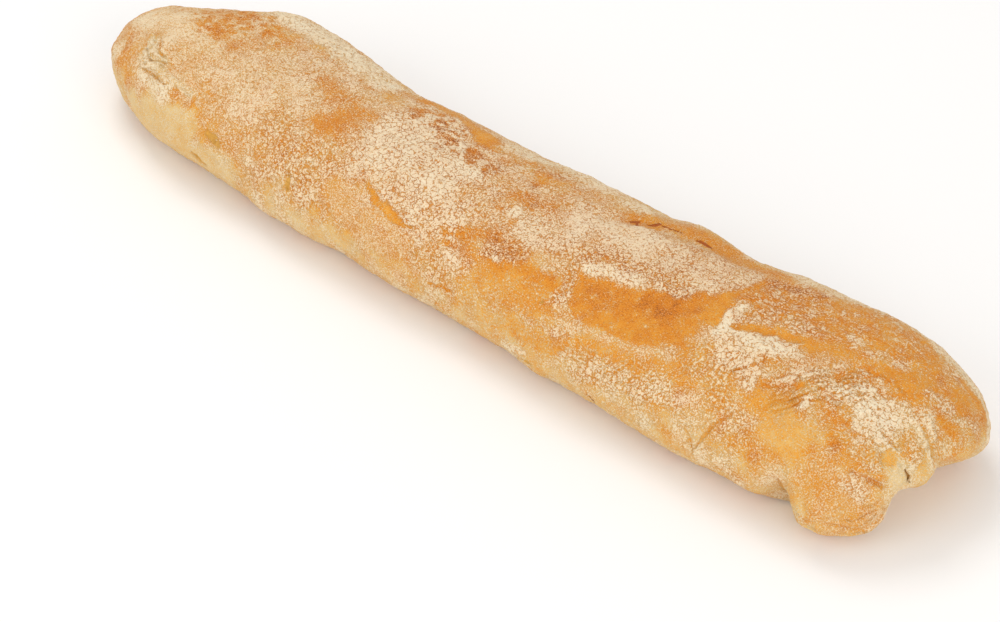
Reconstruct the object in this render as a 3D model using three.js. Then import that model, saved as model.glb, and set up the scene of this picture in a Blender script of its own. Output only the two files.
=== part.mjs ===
// A long, flat rustic white loaf of the baguette family: one solid of crust and crumb, lying on its base.
// Millimetres, +Z up. X runs from the narrow end to the broad end, -Y is the side with the ear, and the
// origin is the middle of the footprint on the surface that the loaf lies on.
import * as THREE from "three";
import { mergeVertices } from "three/addons/utils/BufferGeometryUtils.js";

// ---- Driving dimensions ----
const LENGTH = 510; // tip to tip before the broad end is pushed in
const HALF_WIDTH = 50; // mean half width of the long middle
const CROWN = 57; // height of the long middle
const EQUATOR = 0.42; // height of the widest line, as a share of the crown
const UNDERCUT = 1.28; // how far the lower half would reach below the surface that cuts it flat
const SQUARENESS = 2.25; // exponent of the cross section: 2 is an ellipse
const AXIS_HEIGHT = EQUATOR * CROWN; // the line that turns are measured round

// The rounding of each end: how far from the tip it begins, and how blunt it is.
const NARROW_END = { length: 81, bluntness: 2.2 };
const BROAD_END = { length: 50, bluntness: 2.4 };

// ---- Mesh spacing ----
const SIDE_STEPS = 42; // around the crust, from one edge of the base over the crown to the other
const BASE_STEPS = 6; // across the base
const STEP_ALONG = 5.2; // between rings on the long middle
const FINE_STEP_ALONG = 3.6; // between rings at the broad end
const FINE_FROM = 150; // where the finer rings begin

// ---- Uneven shaping: where the hand-rolled dough is fuller or slimmer than its mean ----
// at and spread lie along X. What is added to the front, the back and the crown follows.
const SWELLINGS = [
  { name: "narrow tip", at: -255, spread: 34, front: -5, back: -4, crown: -4 },
  { name: "neck", at: -215, spread: 30, front: -4, back: -15, crown: -1 },
  { name: "shoulder", at: -165, spread: 32, front: -1, back: 6, crown: 0 },
  { name: "waist", at: -85, spread: 24, front: 2, back: -6, crown: 0 },
  { name: "second waist", at: -28, spread: 38, front: 3, back: -4, crown: 0 },
  { name: "belly", at: 72, spread: 58, front: 5, back: -1, crown: 1 },
  { name: "rise of the hip", at: 150, spread: 28, front: 4, back: 8, crown: 0 },
  { name: "hip", at: 195, spread: 30, front: 3, back: 8, crown: 0 },
  { name: "broad tip", at: 240, spread: 26, front: 2, back: 6, crown: -6 },
];

// ---- Pulls: handfuls of dough that shaping moved, each fading out over its reach ----
const PULLS = [
  { name: "tuck under the broad end", centre: [262, -5, -8], reach: [62, 54, 48], move: [-29, 0, 8] },
  { name: "front corner rounded off", centre: [256, -46, 30], reach: [40, 40, 36], move: [-12, 5, 0] },
  { name: "ear, left half", centre: [213, -50, 9], reach: [19, 22, 30], move: [0, -2.5, -1] },
  { name: "ear, right half", centre: [236, -34, 9], reach: [22, 22, 32], move: [4, 4, -1] },
  { name: "notch before the ear", centre: [198, -51, 6], reach: [13, 18, 34], move: [1, 10, 2] },
  { name: "notch behind the ear", centre: [242, -21, 12], reach: [13, 12, 26], move: [-6, 3, 2] },
  { name: "fold in the end face", centre: [250, -2, 26], reach: [18, 14, 34], move: [-6, 0, 0] },
];

// ---- Lumps and hollows of the crust ----
// x is along the loaf and turn is in degrees round it: 0 at the crown, 90 at the front, -90 at the back.
// along and across are their reaches in mm, and rise is the height, negative for a hollow.
const LUMPS = [
  { name: "back knuckle", x: -178, turn: -60, along: 22, across: 26, rise: 3 },
  { name: "lip behind the back crease", x: 88, turn: -66, along: 30, across: 18, rise: 3 },
  { name: "dip before the lip", x: 66, turn: -58, along: 14, across: 16, rise: -1.5 },
  { name: "dip after the lip", x: 124, turn: -58, along: 16, across: 18, rise: -1 },
  { name: "nick in the back", x: -6, turn: -52, along: 20, across: 20, rise: -1.5 },
  { name: "front foot, narrow end", x: -112, turn: 104, along: 22, across: 20, rise: 2.5 },
  { name: "front foot, middle", x: 60, turn: 104, along: 18, across: 16, rise: 1.5 },
  { name: "front foot, broad end", x: 122, turn: 104, along: 36, across: 18, rise: 2 },
  { name: "blister at the narrow tip", x: -206, turn: 2, along: 24, across: 22, rise: 1.5 },
  { name: "hollow behind the pinch", x: -186, turn: 40, along: 16, across: 14, rise: -1.5 },
  { name: "cheek of the narrow end", x: -176, turn: 76, along: 24, across: 18, rise: 1.5 },
  { name: "dusted plateau", x: -38, turn: 22, along: 40, across: 30, rise: 1.2 },
  { name: "peeled crescent", x: -36, turn: 60, along: 16, across: 8, rise: -1.5 },
  { name: "bronze hollow", x: 112, turn: 42, along: 52, across: 20, rise: -1.2 },
  { name: "collar", x: 152, turn: 30, along: 20, across: 22, rise: 1.5 },
  { name: "back of the hip", x: 178, turn: -12, along: 40, across: 22, rise: 1.2 },
  { name: "far side of the hip", x: 190, turn: -52, along: 44, across: 26, rise: 2 },
  { name: "saddle above the ear", x: 204, turn: 46, along: 20, across: 20, rise: -1.5 },
  { name: "palm of the ear", x: 226, turn: 62, along: 16, across: 14, rise: 2 },
];

// ---- Folds and creases: each a line through x, turn pairs with a half width and a rise in mm ----
const CREASES = [
  { name: "back crease", line: [[54, -18], [72, -34], [98, -46], [120, -50]], reach: 8, rise: -3 },
  { name: "pinch at the narrow tip", line: [[-213, 42], [-200, 54], [-186, 60]], reach: 8, rise: 2 },
  { name: "front crease", line: [[176, 66], [163, 79], [155, 90]], reach: 7, rise: -1.5 },
  { name: "ridge under the bronze hollow", line: [[72, 76], [96, 67], [120, 56]], reach: 7, rise: 1.2 },
  { name: "tongue in the collar", line: [[142, 19], [160, 8], [180, 0]], reach: 7, rise: -1.5 },
  { name: "valley over the broad end", line: [[196, 8], [214, 12], [232, 16]], reach: 10, rise: -1.5 },
];

// ---- Even unevenness: small low lumps and hollows strewn over the whole crust ----
// slimness is how much longer than wide each one is, and turns is the span round the loaf in degrees.
const UNEVENNESS = { count: 150, smallest: 11, largest: 26, rise: 0.9, slimness: 1.3, turns: 240, seed: 41 };
const BASE_EASE = 7; // relief fades out over this height above the base
const END_FULLNESS = 0.9; // under 1 the tips stay higher than they are wide

/** 1 at the middle, falling smoothly to 0 at the rim of its reach. */
const fade = (distance) => (distance < 1 ? (1 - distance * distance) ** 2 : 0);

/** A bell curve of the distance from its middle. */
const bell = (distance) => Math.exp(-distance * distance);

/** How much of the full section is left near the ends, from 0 at a tip to 1. */
function endRounding(x) {
  const share = (end, fromTip) => {
    const outside = Math.max(0, 1 - fromTip / end.length);
    return (1 - Math.min(1, outside) ** end.bluntness) ** (1 / end.bluntness);
  };
  return share(NARROW_END, x + LENGTH / 2) * share(BROAD_END, LENGTH / 2 - x);
}

/** The cross section at x: its reach to the front and back, and its height. */
function sectionAt(x) {
  const section = { front: HALF_WIDTH, back: HALF_WIDTH, crown: CROWN };
  for (const swelling of SWELLINGS) {
    const weight = bell((x - swelling.at) / swelling.spread);
    section.front += weight * swelling.front;
    section.back += weight * swelling.back;
    section.crown += weight * swelling.crown;
  }
  return section;
}

/** The point of the plain loaf at x along it and the angle round it, with 90 degrees at the crown. */
function plainCrust(x, angle) {
  const { front, back, crown } = sectionAt(x);
  const rounding = endRounding(x);
  const across = Math.cos(angle);
  const upward = Math.sin(angle);
  const radius = (Math.abs(across) ** SQUARENESS + Math.abs(upward) ** SQUARENESS) ** (-1 / SQUARENESS);
  const equator = EQUATOR * crown;
  const rise = (upward > 0 ? crown - equator : equator * UNDERCUT) * rounding ** END_FULLNESS;
  return new THREE.Vector3(
    x,
    (back - front) / 2 + ((back + front) / 2) * rounding * radius * across,
    equator + rise * radius * upward,
  );
}

/** Moves a point by every pull that reaches it, in turn. */
function applyPulls(point) {
  for (const pull of PULLS) {
    const [x, y, z] = pull.centre;
    const [rx, ry, rz] = pull.reach;
    const distance = Math.hypot((point.x - x) / rx, (point.y - y) / ry, (point.z - z) / rz);
    point.addScaledVector(new THREE.Vector3(...pull.move), fade(distance));
  }
  return point;
}

/** Where x and a turn in degrees lie on the crust unrolled flat, in mm. */
function unrolled(x, turn) {
  return new THREE.Vector2(x, THREE.MathUtils.degToRad(turn) * HALF_WIDTH);
}

/** Low lumps and hollows strewn by a seeded rule. */
function strewnLumps({ count, smallest, largest, rise, slimness, turns, seed }) {
  let state = seed;
  const random = () => {
    state = (state * 1664525 + 1013904223) % 4294967296;
    return state / 4294967296;
  };
  return Array.from({ length: count }, () => {
    const size = smallest + random() * (largest - smallest);
    const x = (random() - 0.5) * LENGTH;
    const turn = (random() - 0.5) * turns;
    return { x, turn, along: size * slimness, across: size, rise: rise * (2 * random() - 1) };
  });
}

/** The distance from a place on the unrolled crust to a line of such places. */
function distanceToLine(place, line) {
  let nearest = Infinity;
  for (let i = 1; i < line.length; i++) {
    const step = line[i].clone().sub(line[i - 1]);
    const offset = place.clone().sub(line[i - 1]);
    const share = THREE.MathUtils.clamp(offset.dot(step) / step.lengthSq(), 0, 1);
    nearest = Math.min(nearest, offset.distanceTo(step.multiplyScalar(share)));
  }
  return nearest;
}

const allLumps = [...LUMPS, ...strewnLumps(UNEVENNESS)];
const lumps = allLumps.map((lump) => ({ ...lump, place: unrolled(lump.x, lump.turn) }));
const creases = CREASES.map((crease) => ({ ...crease, line: crease.line.map((pair) => unrolled(...pair)) }));

/** How far the crust rises above the smooth loaf at a point of it. */
function crustRise(point) {
  const turn = THREE.MathUtils.radToDeg(Math.atan2(-point.y, point.z - AXIS_HEIGHT));
  const place = unrolled(point.x, turn);
  let rise = 0;
  for (const lump of lumps) {
    const offset = place.clone().sub(lump.place);
    rise += lump.rise * fade(Math.hypot(offset.x / lump.along, offset.y / lump.across));
  }
  for (const crease of creases) {
    rise += crease.rise * fade(distanceToLine(place, crease.line) / crease.reach);
  }
  return rise * Math.min(1, point.z / BASE_EASE);
}

/** Ring places along X: even steps over the rounded profile, finer at the broad end. */
function ringPlaces() {
  const places = [];
  const fine = 0.1;
  let travelled = 0;
  let height = 0;
  for (let x = -LENGTH / 2 + fine; x < LENGTH / 2; x += fine) {
    const next = endRounding(x) * HALF_WIDTH;
    travelled += Math.hypot(fine, next - height);
    height = next;
    const step = x > FINE_FROM ? FINE_STEP_ALONG : STEP_ALONG;
    if (travelled >= step) {
      places.push(x);
      travelled -= step;
    }
  }
  return places;
}

/** Angles round a ring: close together over the crust, wide apart across the flat base. */
function ringAngles() {
  const edge = Math.asin(1 / UNDERCUT); // how far below the equator the base begins
  const crustSpan = Math.PI + 2 * edge;
  const baseSpan = 2 * Math.PI - crustSpan;
  const spread = (start, span, steps) => Array.from({ length: steps }, (_, i) => start + (span * i) / steps);
  return [...spread(-edge, crustSpan, SIDE_STEPS), ...spread(Math.PI + edge, baseSpan, BASE_STEPS)];
}

/** The smooth loaf: a globe whose poles are the two tips, with each vertex moved to its place. */
function smoothLoaf() {
  const places = [-LENGTH / 2, ...ringPlaces(), LENGTH / 2];
  const angles = ringAngles();
  const globe = new THREE.SphereGeometry(1, angles.length, places.length - 1);
  const { position, uv } = globe.attributes;
  for (let i = 0; i < position.count; i++) {
    const ring = Math.round((1 - uv.getY(i)) * (places.length - 1));
    const isTip = ring === 0 || ring === places.length - 1;
    const turn = isTip ? 0 : Math.round((1 - uv.getX(i)) * angles.length) % angles.length;
    const point = applyPulls(plainCrust(places[ring], angles[turn]));
    position.setXYZ(i, point.x, point.y, Math.max(0, point.z));
  }
  globe.deleteAttribute("uv");
  globe.deleteAttribute("normal");
  const loaf = mergeVertices(globe, 1e-3);
  loaf.computeVertexNormals();
  return loaf;
}

/** The crust: the smooth loaf with its lumps, hollows and creases, centred over its footprint. */
function crustGeometry() {
  const geometry = smoothLoaf();
  const { position, normal } = geometry.attributes;
  const point = new THREE.Vector3();
  const outward = new THREE.Vector3();
  for (let i = 0; i < position.count; i++) {
    point.fromBufferAttribute(position, i);
    outward.fromBufferAttribute(normal, i);
    point.addScaledVector(outward, crustRise(point));
    position.setXYZ(i, point.x, point.y, Math.max(0, point.z));
  }
  geometry.computeBoundingBox();
  const { min, max } = geometry.boundingBox;
  geometry.translate(-(min.x + max.x) / 2, -(min.y + max.y) / 2, 0);
  geometry.computeVertexNormals();
  return geometry;
}

const crust = new THREE.MeshStandardMaterial({ color: 0xdba864, roughness: 0.85, metalness: 0 });

const loaf = new THREE.Mesh(crustGeometry(), crust);
loaf.name = "loaf";

const model = new THREE.Group();
model.add(loaf);
export default model;
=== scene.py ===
"""A long, flat, floured white loaf of the baguette family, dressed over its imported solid.

The loaf is one piece. Its crust is a refined copy of the solid, browned, creased, cracked and floured by
named places on the loaf, with fine flour clumps lying on it. Places are given by x in millimetres along the
loaf, from the slim tip to the broad tip, and by a turn round it in degrees: 0 at the crown, 90 at the front
and -90 at the back. Everything else is in metres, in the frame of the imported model.
"""

from __future__ import annotations

import logging
import math
from collections.abc import Callable
from dataclasses import dataclass, field
from enum import Enum
from functools import partial
from typing import NamedTuple

import bmesh
import bpy
import numpy as np
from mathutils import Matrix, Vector, noise
from mathutils.bvhtree import BVHTree

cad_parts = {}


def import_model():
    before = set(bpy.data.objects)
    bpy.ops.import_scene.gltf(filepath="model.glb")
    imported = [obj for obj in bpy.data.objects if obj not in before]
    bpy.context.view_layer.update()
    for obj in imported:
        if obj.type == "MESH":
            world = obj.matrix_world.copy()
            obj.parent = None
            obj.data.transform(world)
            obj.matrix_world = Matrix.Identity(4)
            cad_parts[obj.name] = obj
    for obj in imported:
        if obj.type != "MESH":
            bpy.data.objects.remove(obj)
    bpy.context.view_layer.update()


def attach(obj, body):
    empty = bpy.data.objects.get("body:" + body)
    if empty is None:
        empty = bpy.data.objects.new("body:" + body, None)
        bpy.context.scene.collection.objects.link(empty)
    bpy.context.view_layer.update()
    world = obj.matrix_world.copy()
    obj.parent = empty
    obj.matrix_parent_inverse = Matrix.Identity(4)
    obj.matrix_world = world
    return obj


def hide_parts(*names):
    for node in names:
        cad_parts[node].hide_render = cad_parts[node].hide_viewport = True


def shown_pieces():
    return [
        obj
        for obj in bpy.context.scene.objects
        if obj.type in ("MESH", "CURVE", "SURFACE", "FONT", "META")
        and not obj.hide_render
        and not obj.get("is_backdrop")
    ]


log = logging.getLogger("loaf")

MM = 0.001
ROOT = "root"
NOISE_SEED = 7  # without it, Blender seeds its vector noise from the clock
LAYERS = ("flour", "bake", "crackle", "streak", "tear", "pit")  # the crust's attributes
NOISE_MIDDLE = 0.5  # what Blender's noise textures come to on the whole

Place = tuple[float, float]  # x in mm along the loaf, and the turn round it in degrees
Line = tuple[Place, ...]
Range = tuple[float, float]  # where something sets in, and where it is full


class Follows(NamedTuple):
    """How one value follows another: so much of it, and so much on top."""

    gain: float
    start: float


# ---- Small helpers ----


def colour(code: str) -> tuple[float, float, float, float]:
    """Turns an sRGB hex code into linear RGBA.

    Args:
        code: six hex digits, red first.

    Returns:
        Red, green, blue and an alpha of 1, in linear light.
    """
    channels = [int(code[i : i + 2], 16) / 255 for i in (0, 2, 4)]
    linear = [c / 12.92 if c <= 0.04045 else ((c + 0.055) / 1.055) ** 2.4 for c in channels]
    return (*linear, 1.0)


def per_metre(size_mm: float) -> float:
    """Returns the scale of a texture whose features are this many millimetres across."""
    return 1 / (size_mm * MM)


def add_node(tree: bpy.types.NodeTree, kind: str, inputs: dict | None = None, **settings) -> bpy.types.Node:
    """Adds a node to a tree.

    Args:
        tree: a shader or geometry node tree.
        kind: the node's type name.
        inputs: for each input, by its name or number, a value, an output socket, or another node, whose
            first live output is then taken.
        **settings: the node's own properties.

    Returns:
        The new node.
    """
    node = tree.nodes.new(kind)
    for name, value in settings.items():
        setattr(node, name, value)
    for key, value in (inputs or {}).items():
        if isinstance(value, bpy.types.Node):
            value = next(socket for socket in value.outputs if socket.enabled)
        if isinstance(value, bpy.types.NodeSocket):
            tree.links.new(value, node.inputs[key])
        else:
            node.inputs[key].default_value = value
    return node


def smooth_step(low: float, high: float, value: np.ndarray) -> np.ndarray:
    """Rises smoothly from 0 at low to 1 at high, and falls instead where high is below low."""
    share = np.clip((value - low) / (high - low), 0, 1)
    return share * share * (3 - 2 * share)


def along_line(points: np.ndarray, line: np.ndarray) -> tuple[np.ndarray, np.ndarray, np.ndarray]:
    """Measures points against a line of straight stretches.

    Args:
        points: n places, as rows of x, y and z.
        line: one place or more, as rows.

    Returns:
        n distances to the line, n lengths along it to its nearest point, and n rows that lead from there to
        the point.
    """
    away = points - line[0]
    nearest = np.linalg.norm(away, axis=1)
    length = np.zeros(len(points))
    run = 0.0
    for start, end in zip(line[:-1], line[1:]):
        step = end - start
        share = np.clip((points - start) @ step / max(step @ step, 1e-9), 0, 1)
        apart = points - start - share[:, None] * step
        distance = np.linalg.norm(apart, axis=1)
        closer = distance < nearest
        nearest = np.where(closer, distance, nearest)
        away = np.where(closer[:, None], apart, away)
        length = np.where(closer, run + share * np.linalg.norm(step), length)
        run += np.linalg.norm(step)
    return nearest, length, away


def taper(length: np.ndarray, line: np.ndarray, lost: float) -> np.ndarray:
    """Narrows a line towards its two ends.

    Args:
        length: how far along the line each point is.
        line: the line's places, as rows.
        lost: the share of the width that is gone at the very ends.

    Returns:
        The share of the width that is left at each point.
    """
    whole = np.linalg.norm(np.diff(line, axis=0), axis=1).sum()
    middle = np.sin(np.pi * length / whole) if whole > 0 else np.ones(len(length))
    return 1 - lost + lost * middle


@dataclass(frozen=True)
class SmoothNoise:
    """Smooth vector noise.

    Attributes:
        size_mm: how far apart its lumps are.
        shift: moves the pattern, so that no two are alike.
    """

    size_mm: float
    shift: float

    def at(self, points: np.ndarray) -> np.ndarray:
        """Reads the noise.

        Args:
            points: n places in mm, as rows.

        Returns:
            n rows of three values between -1 and 1.
        """
        shifted = points / self.size_mm + self.shift
        return np.array([noise.noise_vector(Vector(row)) for row in shifted])


def modifier_mesh(piece: bpy.types.Object, name: str) -> bpy.types.Mesh:
    """Turns a piece and its modifiers into one plain mesh, and takes the modifiers off."""
    evaluated = piece.evaluated_get(bpy.context.evaluated_depsgraph_get())
    mesh = bpy.data.meshes.new_from_object(evaluated)
    mesh.name = name
    piece.modifiers.clear()
    return mesh


def set_inputs(modifier: bpy.types.NodesModifier, values: dict[str, object]) -> None:
    """Sets a geometry tree's named inputs on its modifier, by each socket's identifier."""
    for item in modifier.node_group.interface.items_tree:
        if item.item_type == "SOCKET" and item.in_out == "INPUT" and item.name in values:
            modifier[item.identifier] = values[item.name]


# ---- What is painted and carved on the crust ----


@dataclass(frozen=True)
class Patch:
    """A patch of crust with its own flour, bake or thickness.

    Attributes:
        name: what the patch is.
        line: its middle line, one place or more.
        reach: its half width in mm.
        flour: the share of it that flour covers, or None to leave that as it is.
        bake: how far it is baked, 0 pale dough to 1 dark brown, or None.
        rise: how far it stands proud in mm, negative where skin has peeled away.
        edge: the share of its reach over which it fades out.
        crackle: how coarsely its flour broke up, 0 fine dust to 1 plates with dark gaps, or None.
        streak: how far its flour is drawn out along the loaf, 0 not at all to 1 in streaks, or None.
        lost: the share of its reach that is gone at the ends of its line.
        broken: the share of it that is missing, where it broke up into islands.
    """

    name: str
    line: Line
    reach: float
    flour: float | None = None
    bake: float | None = None
    rise: float = 0.0
    edge: float = 1.0
    crackle: float | None = None
    streak: float | None = None
    lost: float = 0.0
    broken: float = 0.0


@dataclass(frozen=True)
class Profile:
    """The shape of a mark across its line, in shares of its reach and of its depth.

    Attributes:
        rim: how far out it starts.
        bottom: where it has its full depth or height.
        up: 1 where it stands up, -1 where it is sunk.
        lip: how high the swelling beside it stands.
        narrowing: the share of its reach that is gone at the ends of its line.
    """

    rim: float
    bottom: float
    up: int
    lip: float = 0.0
    narrowing: float = 0.4


class Carving(Enum):
    """The ways in which the crust is creased, torn or blown up."""

    CREASE = Profile(rim=1.1, bottom=0.0, up=-1, lip=0.3)  # a soft fold pressed into the dough
    RIDGE = Profile(rim=1.1, bottom=0.0, up=1)  # a pinched line standing up
    CRACK = Profile(rim=1.15, bottom=0.55, up=-1, lip=0.2, narrowing=0.7)  # a tear with a browned bottom
    PIT = Profile(rim=1.15, bottom=0.55, up=-1, lip=0.2)  # a burst bubble with a steep wall
    BLISTER = Profile(rim=1.2, bottom=0.2, up=1, lip=-0.4)  # a bubble with a groove round it


HOLLOWS = {Carving.CRACK: "tear", Carving.PIT: "pit"}  # the marks with an attribute of their own


@dataclass(frozen=True)
class Mark:
    """One crease, ridge, crack, pit or blister.

    Attributes:
        name: what it is.
        carving: how it is cut or raised.
        line: its middle line, one place or more.
        reach: its half width in mm.
        depth: how deep it is, or how high it stands, in mm.
    """

    name: str
    carving: Carving
    line: Line
    reach: float
    depth: float


@dataclass(frozen=True)
class Wrinkling:
    """Skin that has crept into small folds, which run the way a line runs.

    Attributes:
        name: where it is.
        line: the line that the folds follow, two places or more.
        reach: how far the folds go to either side, in mm.
        spacing: from fold to fold in mm.
        height: from valley to ridge in mm.
        flour: how much more flour lies on the ridges than in the valleys.
    """

    name: str
    line: Line
    reach: float
    spacing: float
    height: float
    flour: float


BRONZE_DOTS: Line = ((88, 45), (100, 41), (99, 60), (104, 49), (82, 52), (93, 55), (112, 52), (108, 44))

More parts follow.
